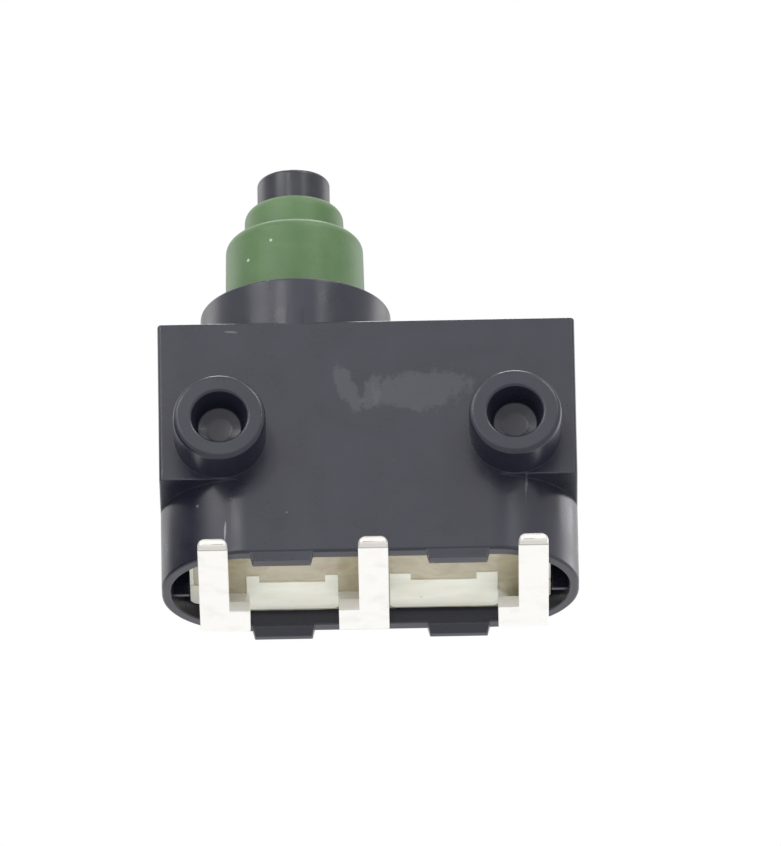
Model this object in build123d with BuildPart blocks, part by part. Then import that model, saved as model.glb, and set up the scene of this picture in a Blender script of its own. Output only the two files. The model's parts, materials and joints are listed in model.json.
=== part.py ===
from build123d import *
import os
from math import radians, tan

# Sealed sub-miniature snap-action switch with two locating pegs and a booted plunger.
#
# Frame: X runs along the case, Y goes into the case from its mounting face and Z points
# the way the plunger stands out.  The origin lies on the mounting face, midway between
# the axes of the two pegs.  All lengths are in millimetres, all angles in degrees.

os.makedirs("parts", exist_ok=True)

# --- Case outline ------------------------------------------------------------------------
CASE_LENGTH = 13.3            # X
CASE_DEPTH = 6.1              # Y, mounting face to back face
CASE_TOP = 3.98               # Z of the shelf around the collar
SHOULDER_Z = -1.52            # square block above, rounded skirt below
RIM_Z = -4.1                  # open lower edge of the skirt
BLOCK_ROUND = 0.12            # upright edges of the square block
SHELF_BEVEL = 0.1             # its top edge
SKIRT_FLAT = 0.5              # flat left in the middle of the skirt's round ends

# --- Case hollows ------------------------------------------------------------------------
END_WALL = 0.3                # skirt wall at the two ends
FACE_WALL = 0.5               # skirt wall at the front and back
RECESS_FLAT = 0.3             # flat left in the middle of the potting recess's round ends
LEDGE_Z = -2.6                # ledge that the base seats against
CAVITY_LEG_GAP = 0.45         # contact chamber beyond the outer legs
CAVITY_FACE_WALL = 0.6
CAVITY_CORNER = 1.6
CAVITY_TOP = 3.0
RIM_CHAMFER = 0.07            # inner edge of the rim

# --- Locating pegs -----------------------------------------------------------------------
PEG_PITCH = 9.4
PEG_RADIUS = 1.475
PEG_LENGTH = 1.5
PEG_BEVEL = 0.12
PEG_HOLE_MOUTH = 0.885        # radius of the coring hole at the tip
PEG_HOLE_FLOOR = 0.68         # radius at its floor
PEG_HOLE_DEPTH = 1.15

# --- Clip tabs on the rim ----------------------------------------------------------------
TAB_PITCH = 5.6
TAB_WIDTH = 2.04
TAB_TIP_WIDTH = 1.84
TAB_HEIGHT = 0.28
TAB_LEAD_IN = 0.24            # sloped inner corner of the two tabs at the back
TAB_LEAD_IN_HEIGHT = 0.45

# --- Plunger column ----------------------------------------------------------------------
PLUNGER_X = -2.25             # axis of collar, boot and plunger
COLLAR_TOP = 5.56
COLLAR_INSET = 0.02           # the collar stands this far behind both faces
COLLAR_BEVEL = 0.08
LIP_THICKNESS = 0.87          # collar lip that holds the boot's foot
PLUNGER_TRAVEL = 1.5

BOOT_LOWER_RADIUS = 2.24
BOOT_UPPER_RADIUS = 1.59
BOOT_WALL = 0.35
BOOT_FOOT_RADIUS = 2.55
BOOT_FOOT_THICKNESS = 0.4
BOOT_STEP_Z = 8.16            # top of the lower tier
BOOT_TOP_Z = 9.33
BOOT_LOWER_ROUND = 0.38
BOOT_UPPER_ROUND = 0.42
BOOT_BORE_GAP = 0.035         # boot to collar bore, and boot to plunger stem

PLUNGER_RADIUS = 1.165
PLUNGER_TOP_Z = 10.36
PLUNGER_BEVEL = 0.15
GROOVE_DEPTH = 0.2            # groove that the boot's lip snaps into
GROOVE_GAP = 0.02
FLANGE_RADIUS = 1.7           # flange that the return spring pushes on
FLANGE_Z = 7.15
FLANGE_THICKNESS = 0.3

GUIDE_GAP = 0.02              # guide to the counterbore, radial
GUIDE_TUBE_WALL = 0.25
TRAVEL_GAP = 0.25             # flange to guide with the plunger fully pressed
STEM_GAP = 0.05               # running clearance, stem to guide and pin to its bores

PIN_HEAD_RADIUS = 0.7
PIN_HEAD_HEIGHT = 0.5
PIN_SHANK_RADIUS = 0.4
PIN_TIP_BEVEL = 0.2
STEM_BORE_TOP = 6.6
CUP_RADIUS = 1.35             # stop cup pressed on the foot of the stem
CUP_FLOOR = 0.3
CUP_STOP_GAP = 0.02
CUP_PRESS_GAP = 0.01
CUP_DEPTH = 0.23              # how far the stem sits inside the cup

RETURN_WIRE_RADIUS = 0.1
RETURN_COIL_RADIUS = 1.62
RETURN_TURNS = 4
OVERRIDE_WIRE_RADIUS = 0.08
OVERRIDE_COIL_RADIUS = 0.55
OVERRIDE_TURNS = 4.5
WIRE_SIDES = 6                # flats that stand for the round of the wire
SEAT_GAP = 0.01               # pin head on its cup, spring ends on their seats

# --- Base and potting --------------------------------------------------------------------
BASE_TOP = -1.2               # face inside the switch
BASE_GAP = 0.03
BASE_END_X = 5.75             # half length of the base plate
PLATE_BOTTOM = -3.1
LAND_Z = -3.6                 # faces of the two lands and of the end posts
LAND_FRONT_Y = 2.92
LAND_BACK_GAP = 0.15          # lands to the back wall
LAND_ROUND = 0.2
LANDS = ((-3.95, -1.03), (0.62, 4.06))
LAND_NOTCH_WIDTH = 2.1
LAND_NOTCH_DEPTH = 0.5
POST_FRONT_Y = 3.56
POST_ROUND = 0.35             # outer rear corner of each post
REAR_POCKET = 0.65            # depth of the pockets between the plate's ends and the back wall
POCKET_INNER_X = 4.15
DAM_WALL = 0.12
EPOXY_Z = -3.57
MENISCUS_TOP_Z = -4.04        # where the resin has climbed the front wall
MENISCUS_RUN = 0.9
MENISCUS_RADIUS = 0.8
RIB_Y = 3.62
RIB_THICKNESS = 0.14
RIB_Z = -3.9

# --- Terminals ---------------------------------------------------------------------------
SHEET = 0.4
PIN_PITCH = 5.08
MIDDLE_PIN_X = 0.11
PIN_WIDTH = 0.95
FOOT_WIDTH = 1.6              # wide part of each terminal, leg and bend
FOOT_FRONT_Y = 3.45
PIN_TIP_Y = -2.05
PIN_TIP_CHAMFER = 0.15
PIN_BOTTOM_Z = -4.9
LEG_SETBACK = 0.3             # legs in front of the plate's back edge
BEND_RADIUS = 0.5             # outer radius
LEG_OUTER_X = 5.35            # outer edge of the end legs where they pass the base
LEG_SHOULDER_Z = -3.75

# --- Contacts and snap mechanism ---------------------------------------------------------
ARM_Z = 0.3                   # middle plane of the arm
ARM_THICKNESS = 0.15
ARM_PIVOT_X = 4.9
ARM_PIVOT_ROUND = 0.11        # rolled edge that rocks in the anchor
ARM_TIP_X = -5.05
ARM_WIDTH = 2.2
ARM_TIP_WIDTH = 1.2
ARM_TAPER = (-2.9, -1.3)
ARM_REAR_WIDTH = 1.5
ARM_REAR_TAPER = (4.4, 4.6)
ARM_TIP_ROUND = 0.3
PIVOT_GAP = 0.03
ARM_SWING = 2.9
WINDOW_X = (-0.6, 4.2)
WINDOW_WIDTH = 1.2
CONTACT_X = -4.5
CONTACT_RADIUS = 0.5
CONTACT_HEAD = 0.25
FIXED_HEAD = 0.3
CONTACT_BEVEL = 0.1
CONTACT_SHANK = 0.3
SHANK_GAP = 0.01
CLOSED_GAP = 0.02             # between contacts that touch
ANCHOR_WIDTH = 1.7
ANCHOR_REAR_X = 4.95
ANCHOR_REAR_TOP = 0.65
ANCHOR_FRONT_X = 2.2
ANCHOR_FRONT_WIDTH = 0.9
ANCHOR_FRONT_TOP = -0.1
ANCHOR_NOTCH_Z = -0.35
NOTCH_RADIUS = 0.1
SNAP_WIDTH = 0.8
SNAP_THICKNESS = 0.1
SNAP_RISE = 0.55
SNAP_GAP = 0.06
NO_STRIP_WIDTH = 1.3
RIVET_UPSET = 0.12
RIVET_UPSET_RADIUS = 0.42

# --- Values that follow from the sizes above ---------------------------------------------
MID_Y = CASE_DEPTH / 2
INNER_BACK_Y = CASE_DEPTH - FACE_WALL
COLLAR_RADIUS = CASE_DEPTH / 2 - COLLAR_INSET
RECESS_LENGTH = CASE_LENGTH - 2 * END_WALL
RECESS_DEPTH = CASE_DEPTH - 2 * FACE_WALL
SKIRT_CORNER = (CASE_DEPTH - SKIRT_FLAT) / 2
RECESS_CORNER = (RECESS_DEPTH - RECESS_FLAT) / 2
CAVITY_LENGTH = 2 * (LEG_OUTER_X + CAVITY_LEG_GAP)
CAVITY_DEPTH = CASE_DEPTH - 2 * CAVITY_FACE_WALL
LIP_Z = COLLAR_TOP - LIP_THICKNESS
BOOT_FOOT_Z = LIP_Z - BOOT_FOOT_THICKNESS
BOOT_BORE = BOOT_LOWER_RADIUS + BOOT_BORE_GAP
COUNTERBORE = BOOT_FOOT_RADIUS + 2 * BOOT_BORE_GAP
GUIDE_BORE = PLUNGER_RADIUS + STEM_GAP
GUIDE_TUBE_RADIUS = GUIDE_BORE + GUIDE_TUBE_WALL
GUIDE_TUBE_TOP = FLANGE_Z - PLUNGER_TRAVEL - TRAVEL_GAP
CUP_TOP = CAVITY_TOP - CUP_STOP_GAP
STEM_FOOT_Z = CUP_TOP - CUP_DEPTH
STEM_BORE = PIN_HEAD_RADIUS + STEM_GAP
LAND_BACK_Y = INNER_BACK_Y - LAND_BACK_GAP
BASE_BACK_Y = INNER_BACK_Y - REAR_POCKET
LEG_BACK_Y = BASE_BACK_Y - LEG_SETBACK
LEG_FRONT_Y = LEG_BACK_Y - SHEET
STRIP_TOP = BASE_TOP + SHEET
STRIP_FRONT_Y = MID_Y - NO_STRIP_WIDTH / 2
ARM_TOP = ARM_Z + ARM_THICKNESS / 2
ARM_BOTTOM = ARM_Z - ARM_THICKNESS / 2
CONTACT_REACH = ARM_PIVOT_X - CONTACT_X + CONTACT_RADIUS
CONTACT_DROP = CONTACT_REACH * tan(radians(ARM_SWING))
NC_FACE_Z = ARM_TOP + CONTACT_HEAD + CLOSED_GAP
NO_FACE_Z = ARM_BOTTOM - CONTACT_HEAD - CONTACT_DROP - CLOSED_GAP
NC_FLANGE_Z = NC_FACE_Z + FIXED_HEAD
PIN_TIP_Z = ARM_TOP + CLOSED_GAP

LEFT_PIN_X = MIDDLE_PIN_X - PIN_PITCH
RIGHT_PIN_X = MIDDLE_PIN_X + PIN_PITCH
LEFT_FOOT = (LEFT_PIN_X - PIN_WIDTH / 2, LEFT_PIN_X - PIN_WIDTH / 2 + FOOT_WIDTH)
MIDDLE_FOOT = (MIDDLE_PIN_X + PIN_WIDTH / 2 - FOOT_WIDTH, MIDDLE_PIN_X + PIN_WIDTH / 2)
RIGHT_FOOT = (RIGHT_PIN_X + PIN_WIDTH / 2 - FOOT_WIDTH, RIGHT_PIN_X + PIN_WIDTH / 2)
LEGS = ((-LEG_OUTER_X, LEFT_FOOT[1]), MIDDLE_FOOT, (RIGHT_FOOT[0], LEG_OUTER_X))


def middle(span):
    """Centre of a (low, high) pair."""
    return (span[0] + span[1]) / 2


def width(span):
    """Length of a (low, high) pair."""
    return span[1] - span[0]


def block(x, y, z, mode=Mode.ADD):
    """A rectangular block between three (low, high) pairs, in the part being built."""
    with BuildSketch(Plane.XY.offset(z[0])) as plan:
        with Locations((middle(x), middle(y))):
            Rectangle(width(x), width(y))
    return extrude(plan.sketch, amount=width(z), mode=mode)


def disc(radius, z, x=PLUNGER_X, mode=Mode.ADD):
    """A round on the middle plane of the case, between two heights."""
    with BuildSketch(Plane.XY.offset(z[0])) as plan:
        with Locations((x, MID_Y)):
            Circle(radius)
    return extrude(plan.sketch, amount=width(z), mode=mode)


def rounded_outline(length, depth, corner, mode=Mode.ADD):
    """A rounded rectangle centred on the case, in the sketch being built."""
    with Locations((0, MID_Y)):
        RectangleRounded(length, depth, corner, mode=mode)


def recess_outline(gap, mode=Mode.ADD):
    """The potting recess, smaller by a gap all round, in the sketch being built."""
    rounded_outline(RECESS_LENGTH - 2 * gap, RECESS_DEPTH - 2 * gap, RECESS_CORNER - gap, mode)


def turned(profile):
    """A piece turned about the plunger axis from its (radius, height) profile."""
    with BuildSketch(Plane((PLUNGER_X, MID_Y, 0), x_dir=(1, 0, 0), z_dir=(0, -1, 0))) as half:
        Polygon(*profile, align=None)
    return revolve(half.sketch, axis=Axis((PLUNGER_X, MID_Y, 0), (0, 0, 1)))


def finish(builder, name):
    """Label a finished piece and write its STEP file."""
    builder.part.label = name
    export_step(builder.part, f"parts/{name}.step")


# --- Housing: square block, rounded skirt, collar, pegs and clip tabs ---------------------
with BuildPart() as housing:
    block((-CASE_LENGTH / 2, CASE_LENGTH / 2), (0, CASE_DEPTH), (SHOULDER_Z, CASE_TOP))
    fillet(housing.edges().filter_by(Axis.Z), BLOCK_ROUND)
    chamfer(housing.edges().group_by(Axis.Z)[-1], SHELF_BEVEL)

    with BuildSketch(Plane.XY.offset(RIM_Z)):
        rounded_outline(CASE_LENGTH, CASE_DEPTH, SKIRT_CORNER)
    extrude(amount=SHOULDER_Z - RIM_Z)

    disc(COLLAR_RADIUS, (CAVITY_TOP, COLLAR_TOP))
    chamfer(housing.edges().group_by(Axis.Z)[-1], COLLAR_BEVEL)

    # Potting recess, open at the rim, with its inner edge broken.
    with BuildSketch(Plane.XY.offset(RIM_Z)):
        recess_outline(0)
    extrude(amount=LEDGE_Z - RIM_Z, mode=Mode.SUBTRACT)
    rim = housing.faces().sort_by(Axis.Z)[0]
    chamfer(rim.inner_wires()[0].edges(), RIM_CHAMFER)

    # Contact chamber.
    with BuildSketch(Plane.XY.offset(LEDGE_Z)):
        rounded_outline(CAVITY_LENGTH, CAVITY_DEPTH, CAVITY_CORNER)
    extrude(amount=CAVITY_TOP - LEDGE_Z, mode=Mode.SUBTRACT)

    # Stepped bore of the collar: guide and boot foot below, boot through the lip.
    disc(COUNTERBORE, (CAVITY_TOP, LIP_Z), mode=Mode.SUBTRACT)
    disc(BOOT_BORE, (LIP_Z, COLLAR_TOP), mode=Mode.SUBTRACT)

    # Ribs that part the end pockets.
    for side in (-1, 1):
        rib_x = sorted((side * (BASE_END_X + BASE_GAP), side * RECESS_LENGTH / 2))
        rib_y = (RIB_Y - RIB_THICKNESS / 2, RIB_Y + RIB_THICKNESS / 2)
        block(rib_x, rib_y, (RIB_Z, LEDGE_Z))

    # Clip tabs under the front and back walls, the back ones with a sloped lead-in.
    for tab_front_y in (0, INNER_BACK_Y):
        with BuildSketch(Plane.XZ.offset(-tab_front_y)):
            with Locations((-TAB_PITCH / 2, RIM_Z), (TAB_PITCH / 2, RIM_Z)):
                Polygon(
                    (-TAB_WIDTH / 2, RIM_CHAMFER),
                    (TAB_WIDTH / 2, RIM_CHAMFER),
                    (TAB_WIDTH / 2, 0),
                    (TAB_TIP_WIDTH / 2, -TAB_HEIGHT),
                    (-TAB_TIP_WIDTH / 2, -TAB_HEIGHT),
                    (-TAB_WIDTH / 2, 0),
                    align=None,
                )
        extrude(amount=-FACE_WALL)
    with BuildSketch(Plane.YZ.offset(-TAB_PITCH / 2 - TAB_TIP_WIDTH / 2)):
        with Locations((INNER_BACK_Y, RIM_Z - TAB_HEIGHT)):
            Polygon((0, 0), (TAB_LEAD_IN, 0), (0, TAB_LEAD_IN_HEIGHT), align=None)
    extrude(amount=TAB_PITCH + TAB_TIP_WIDTH, mode=Mode.SUBTRACT)

    # Pegs on the mounting face, with their tapered coring holes.
    pegs_at = [(-PEG_PITCH / 2, 0), (PEG_PITCH / 2, 0)]
    with BuildSketch(Plane.XZ):
        with Locations(*pegs_at):
            Circle(PEG_RADIUS)
    extrude(amount=PEG_LENGTH)
    chamfer(housing.edges().group_by(Axis.Y)[0], PEG_BEVEL)
    for peg in pegs_at:
        with BuildSketch(Plane.XZ.offset(PEG_LENGTH)):
            with Locations(peg):
                Circle(PEG_HOLE_MOUTH)
        with BuildSketch(Plane.XZ.offset(PEG_LENGTH - PEG_HOLE_DEPTH)):
            with Locations(peg):
                Circle(PEG_HOLE_FLOOR)
        loft(mode=Mode.SUBTRACT)
finish(housing, "housing")


# --- Base: plug, plate, lands, end posts and dams -----------------------------------------
def land_outline(land, mode=Mode.ADD):
    """One land, notched in the middle of its front edge, in the sketch being built."""
    with BuildSketch(mode=Mode.PRIVATE) as outline:
        with Locations((middle(land), middle((LAND_FRONT_Y, LAND_BACK_Y)))):
            Rectangle(width(land), LAND_BACK_Y - LAND_FRONT_Y)
        fillet(outline.vertices().group_by(Axis.Y)[-1], LAND_ROUND)
        with Locations((middle(land), LAND_FRONT_Y)):
            Rectangle(LAND_NOTCH_WIDTH, 2 * LAND_NOTCH_DEPTH, mode=Mode.SUBTRACT)
    add(outline.sketch, mode=mode)


def post_seats(mode=Mode.ADD):
    """The square places of the posts outside the two end legs, in the sketch being built."""
    post_x = middle((LEG_OUTER_X, BASE_END_X))
    post_y = middle((POST_FRONT_Y, BASE_BACK_Y))
    with Locations((-post_x, post_y), (post_x, post_y)):
        Rectangle(BASE_END_X - LEG_OUTER_X, BASE_BACK_Y - POST_FRONT_Y, mode=mode)


def potting_outline(half_length, gap):
    """What the base plate and the resin share of the recess, in the sketch being built."""
    recess_outline(gap)
    with Locations((0, MID_Y)):
        Rectangle(2 * half_length, CASE_DEPTH, mode=Mode.INTERSECT)
    pocket_length = RECESS_LENGTH / 2 - POCKET_INNER_X
    for side in (-1, 1):
        with Locations((side * (POCKET_INNER_X + pocket_length / 2), middle((BASE_BACK_Y, CASE_DEPTH)))):
            Rectangle(pocket_length, CASE_DEPTH - BASE_BACK_Y, mode=Mode.SUBTRACT)


with BuildPart() as base:
    with BuildSketch(Plane.XY.offset(LEDGE_Z)):
        rounded_outline(
            CAVITY_LENGTH - 2 * BASE_GAP, CAVITY_DEPTH - 2 * BASE_GAP, CAVITY_CORNER - BASE_GAP
        )
    extrude(amount=BASE_TOP - LEDGE_Z)
    with BuildSketch(Plane.XY.offset(PLATE_BOTTOM)):
        potting_outline(BASE_END_X, BASE_GAP)
    extrude(amount=LEDGE_Z - PLATE_BOTTOM)
    with BuildSketch(Plane.XY.offset(LAND_Z)):
        for land in LANDS:
            land_outline(land)
    extrude(amount=PLATE_BOTTOM - LAND_Z)
    with BuildSketch(Plane.XY.offset(LAND_Z)) as posts:
        post_seats()
        rear = posts.vertices().group_by(Axis.Y)[-1].sort_by(Axis.X)
        fillet((rear[0], rear[-1]), POST_ROUND)
        recess_outline(BASE_GAP, mode=Mode.INTERSECT)
    extrude(amount=PLATE_BOTTOM - LAND_Z)
    with BuildSketch(Plane.XY.offset(EPOXY_Z)):
        potting_outline(BASE_END_X, BASE_GAP)
        with Locations((0, MID_Y)):
            Rectangle(2 * (BASE_END_X - DAM_WALL), CASE_DEPTH, mode=Mode.SUBTRACT)
    extrude(amount=PLATE_BOTTOM - EPOXY_Z)
    for leg in LEGS:
        block(leg, (LEG_FRONT_Y, LEG_BACK_Y), (LAND_Z, BASE_TOP), mode=Mode.SUBTRACT)
finish(base, "base")

# --- Potting resin, climbing the front wall in a concave skin ------------------------------
with BuildPart() as epoxy_seal:
    with BuildSketch(Plane.XY.offset(EPOXY_Z)):
        potting_outline(BASE_END_X - DAM_WALL, 0)
        for land in LANDS:
            land_outline(land, mode=Mode.SUBTRACT)
        post_seats(mode=Mode.SUBTRACT)
        for leg in LEGS:
            with Locations((middle(leg), middle((LEG_FRONT_Y, LEG_BACK_Y)))):
                Rectangle(width(leg), SHEET, mode=Mode.SUBTRACT)
    extrude(amount=PLATE_BOTTOM - EPOXY_Z)
    straight = RECESS_LENGTH / 2 - RECESS_CORNER
    wall_top = (FACE_WALL, MENISCUS_TOP_Z)
    skin_end = (FACE_WALL + MENISCUS_RUN, EPOXY_Z)
    with BuildSketch(Plane.YZ.offset(-straight)):
        with BuildLine():
            Line((FACE_WALL, EPOXY_Z), wall_top)
            RadiusArc(wall_top, skin_end, MENISCUS_RADIUS)
            Line(skin_end, (FACE_WALL, EPOXY_Z))
        make_face()
    extrude(amount=2 * straight)
finish(epoxy_seal, "epoxy_seal")


# --- Terminals: tinned strips bent forward under the case ---------------------------------
def bent_strip(centre_line, x):
    """Terminal sheet bent along (Y, Z) centre-line points, as wide as the pair x."""
    with BuildSketch(Plane.YZ.offset(x[0])) as side:
        with BuildLine():
            FilletPolyline(*centre_line, radius=BEND_RADIUS - SHEET / 2)
        trace(line_width=SHEET)
    return extrude(side.sketch, amount=width(x))


def terminal_foot(foot, leg, pin_x):
    """Wide bend and narrow pin of one terminal, with its leg up to the shoulder."""
    leg_y = middle((LEG_FRONT_Y, LEG_BACK_Y))
    sheet_z = PIN_BOTTOM_Z + SHEET / 2
    bent_strip(((leg_y, LEG_SHOULDER_Z), (leg_y, sheet_z), (FOOT_FRONT_Y, sheet_z)), foot)
    block(
        (pin_x - PIN_WIDTH / 2, pin_x + PIN_WIDTH / 2),
        (PIN_TIP_Y, FOOT_FRONT_Y),
        (PIN_BOTTOM_Z, PIN_BOTTOM_Z + SHEET),
    )
    tip = faces().sort_by(Axis.Y)[0]
    chamfer(tip.edges(), PIN_TIP_CHAMFER)
    block(leg, (LEG_FRONT_Y, LEG_BACK_Y), (LEG_SHOULDER_Z, BASE_TOP))


# Normally closed: rises at the left end and reaches forward over the arm.
with BuildPart() as nc_terminal:
    terminal_foot(LEFT_FOOT, LEGS[0], LEFT_PIN_X)
    leg_y = middle((LEG_FRONT_Y, LEG_BACK_Y))
    flange_z = NC_FLANGE_Z + SHEET / 2
    bent_strip(((leg_y, BASE_TOP), (leg_y, flange_z), (STRIP_FRONT_Y, flange_z)), LEGS[0])
    hole = (NC_FLANGE_Z, NC_FLANGE_Z + SHEET)
    disc(CONTACT_SHANK + SHANK_GAP, hole, x=CONTACT_X, mode=Mode.SUBTRACT)
finish(nc_terminal, "nc_terminal")

# Normally open: its strip lies on the base and runs left, under the arm's contact.
with BuildPart() as no_terminal:
    terminal_foot(MIDDLE_FOOT, LEGS[1], MIDDLE_PIN_X)
    block(LEGS[1], (STRIP_FRONT_Y, LEG_BACK_Y), (BASE_TOP, STRIP_TOP))
    block(
        (ARM_TIP_X, LEGS[1][1]),
        (STRIP_FRONT_Y, STRIP_FRONT_Y + NO_STRIP_WIDTH),
        (BASE_TOP, STRIP_TOP),
    )
    disc(CONTACT_SHANK + SHANK_GAP, (BASE_TOP, STRIP_TOP), x=CONTACT_X, mode=Mode.SUBTRACT)
finish(no_terminal, "no_terminal")

# Common: carries the arm's rocking notch at the rear and the spring's notch at the front.
with BuildPart() as com_terminal:
    terminal_foot(RIGHT_FOOT, LEGS[2], RIGHT_PIN_X)
    anchor_y = (MID_Y - ANCHOR_WIDTH / 2, MID_Y + ANCHOR_WIDTH / 2)
    block(LEGS[2], (anchor_y[1], LEG_BACK_Y), (BASE_TOP, STRIP_TOP))
    block((ANCHOR_FRONT_X, ANCHOR_REAR_X + SHEET), anchor_y, (BASE_TOP, STRIP_TOP))
    block((ANCHOR_REAR_X, ANCHOR_REAR_X + SHEET), anchor_y, (STRIP_TOP, ANCHOR_REAR_TOP))
    block(
        (ANCHOR_FRONT_X, ANCHOR_FRONT_X + SHEET),
        (MID_Y - ANCHOR_FRONT_WIDTH / 2, MID_Y + ANCHOR_FRONT_WIDTH / 2),
        (STRIP_TOP, ANCHOR_FRONT_TOP),
    )
    with BuildSketch(Plane.XZ.offset(-anchor_y[0])):
        with Locations((ARM_PIVOT_X, ARM_Z)):
            Circle(ARM_PIVOT_ROUND + PIVOT_GAP)
        with Locations((ANCHOR_FRONT_X, ANCHOR_NOTCH_Z)):
            Circle(NOTCH_RADIUS)
    extrude(amount=-ANCHOR_WIDTH, mode=Mode.SUBTRACT)
finish(com_terminal, "com_terminal")

# --- Contacts ------------------------------------------------------------------------------
with BuildPart() as nc_contact:
    disc(CONTACT_RADIUS, (NC_FACE_Z, NC_FLANGE_Z), x=CONTACT_X)
    chamfer(nc_contact.edges().group_by(Axis.Z)[0], CONTACT_BEVEL)
    disc(CONTACT_SHANK, (NC_FLANGE_Z, NC_FLANGE_Z + SHEET), x=CONTACT_X)
    disc(RIVET_UPSET_RADIUS, (NC_FLANGE_Z + SHEET, NC_FLANGE_Z + SHEET + RIVET_UPSET), x=CONTACT_X)
finish(nc_contact, "nc_contact")

with BuildPart() as no_contact:
    disc(CONTACT_RADIUS, (STRIP_TOP, NO_FACE_Z), x=CONTACT_X)
    chamfer(no_contact.edges().group_by(Axis.Z)[-1], CONTACT_BEVEL)
    disc(CONTACT_SHANK, (BASE_TOP, STRIP_TOP), x=CONTACT_X)
finish(no_contact, "no_contact")

with BuildPart() as moving_contact:
    for head in ((ARM_TOP, ARM_TOP + CONTACT_HEAD), (ARM_BOTTOM - CONTACT_HEAD, ARM_BOTTOM)):
        disc(CONTACT_RADIUS, head, x=CONTACT_X)
    levels = moving_contact.edges().group_by(Axis.Z)
    chamfer(levels[0] + levels[-1], CONTACT_BEVEL)
    disc(CONTACT_SHANK, (ARM_BOTTOM, ARM_TOP), x=CONTACT_X)
finish(moving_contact, "moving_contact")

# --- Arm: windowed leaf with a rolled rear edge ---------------------------------------------
with BuildPart() as contact_arm:
    with BuildSketch(Plane((0, MID_Y, ARM_BOTTOM))) as leaf:
        with BuildLine():
            Polyline(
                (ARM_TIP_X, 0),
                (ARM_TIP_X, ARM_TIP_WIDTH / 2),
                (ARM_TAPER[0], ARM_TIP_WIDTH / 2),
                (ARM_TAPER[1], ARM_WIDTH / 2),
                (ARM_REAR_TAPER[0], ARM_WIDTH / 2),
                (ARM_REAR_TAPER[1], ARM_REAR_WIDTH / 2),
                (ARM_PIVOT_X, ARM_REAR_WIDTH / 2),
                (ARM_PIVOT_X, 0),
            )
            mirror(about=Plane.XZ)
        make_face()
        fillet(leaf.vertices().group_by(Axis.X)[0], ARM_TIP_ROUND)
        with Locations((middle(WINDOW_X), 0)):
            Rectangle(width(WINDOW_X), WINDOW_WIDTH, mode=Mode.SUBTRACT)
        with Locations((CONTACT_X, 0)):
            Circle(CONTACT_SHANK + SHANK_GAP, mode=Mode.SUBTRACT)
    extrude(amount=ARM_THICKNESS)
    with BuildSketch(Plane.XZ.offset(ARM_REAR_WIDTH / 2 - MID_Y)):
        with Locations((ARM_PIVOT_X, ARM_Z)):
            Circle(ARM_PIVOT_ROUND)
    extrude(amount=-ARM_REAR_WIDTH)
finish(contact_arm, "contact_arm")

# --- Snap spring: bowed leaf between the front anchor and the arm's window ------------------
with BuildPart() as snap_spring:
    arm_end = (WINDOW_X[0] + SNAP_GAP, ARM_Z)
    anchor_end = (ANCHOR_FRONT_X, ANCHOR_NOTCH_Z)
    crown = (middle((arm_end[0], anchor_end[0])), middle((arm_end[1], anchor_end[1])) + SNAP_RISE)
    with BuildSketch(Plane.XZ.offset(SNAP_WIDTH / 2 - MID_Y)):
        with BuildLine():
            ThreePointArc(arm_end, crown, anchor_end)
        trace(line_width=SNAP_THICKNESS)
    extrude(amount=-SNAP_WIDTH)
finish(snap_spring, "snap_spring")

# --- Plunger, with its flange, boot groove and blind bore -----------------------------------
lip_bottom = BOOT_TOP_Z - BOOT_WALL
with BuildPart() as plunger:
    turned((
        (STEM_BORE, STEM_FOOT_Z),
        (PLUNGER_RADIUS, STEM_FOOT_Z),
        (PLUNGER_RADIUS, FLANGE_Z),
        (FLANGE_RADIUS, FLANGE_Z),
        (FLANGE_RADIUS, FLANGE_Z + FLANGE_THICKNESS),
        (PLUNGER_RADIUS, FLANGE_Z + FLANGE_THICKNESS),
        (PLUNGER_RADIUS, lip_bottom - GROOVE_GAP),
        (PLUNGER_RADIUS - GROOVE_DEPTH, lip_bottom - GROOVE_GAP),
        (PLUNGER_RADIUS - GROOVE_DEPTH, BOOT_TOP_Z + GROOVE_GAP),
        (PLUNGER_RADIUS, BOOT_TOP_Z + GROOVE_GAP),
        (PLUNGER_RADIUS, PLUNGER_TOP_Z),
        (0, PLUNGER_TOP_Z),
        (0, STEM_BORE_TOP),
        (STEM_BORE, STEM_BORE_TOP),
    ))
    chamfer(plunger.edges().group_by(Axis.Z)[-1], PLUNGER_BEVEL)
finish(plunger, "plunger")

# --- Stop cup: pressed on the stem, keeps the push pin in and meets the guide ---------------
with BuildPart() as stop_cup:
    turned((
        (PIN_SHANK_RADIUS + STEM_GAP, STEM_FOOT_Z - CUP_FLOOR),
        (CUP_RADIUS, STEM_FOOT_Z - CUP_FLOOR),
        (CUP_RADIUS, CUP_TOP),
        (PLUNGER_RADIUS + CUP_PRESS_GAP, CUP_TOP),
        (PLUNGER_RADIUS + CUP_PRESS_GAP, STEM_FOOT_Z),
        (PIN_SHANK_RADIUS + STEM_GAP, STEM_FOOT_Z),
    ))
finish(stop_cup, "stop_cup")

# --- Push pin --------------------------------------------------------------------------------
with BuildPart() as push_pin:
    turned((
        (0, PIN_TIP_Z),
        (PIN_SHANK_RADIUS, PIN_TIP_Z),
        (PIN_SHANK_RADIUS, STEM_FOOT_Z + SEAT_GAP),
        (PIN_HEAD_RADIUS, STEM_FOOT_Z + SEAT_GAP),
        (PIN_HEAD_RADIUS, STEM_FOOT_Z + PIN_HEAD_HEIGHT),
        (0, STEM_FOOT_Z + PIN_HEAD_HEIGHT),
    ))
    chamfer(push_pin.edges().group_by(Axis.Z)[0], PIN_TIP_BEVEL)
finish(push_pin, "push_pin")

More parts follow.
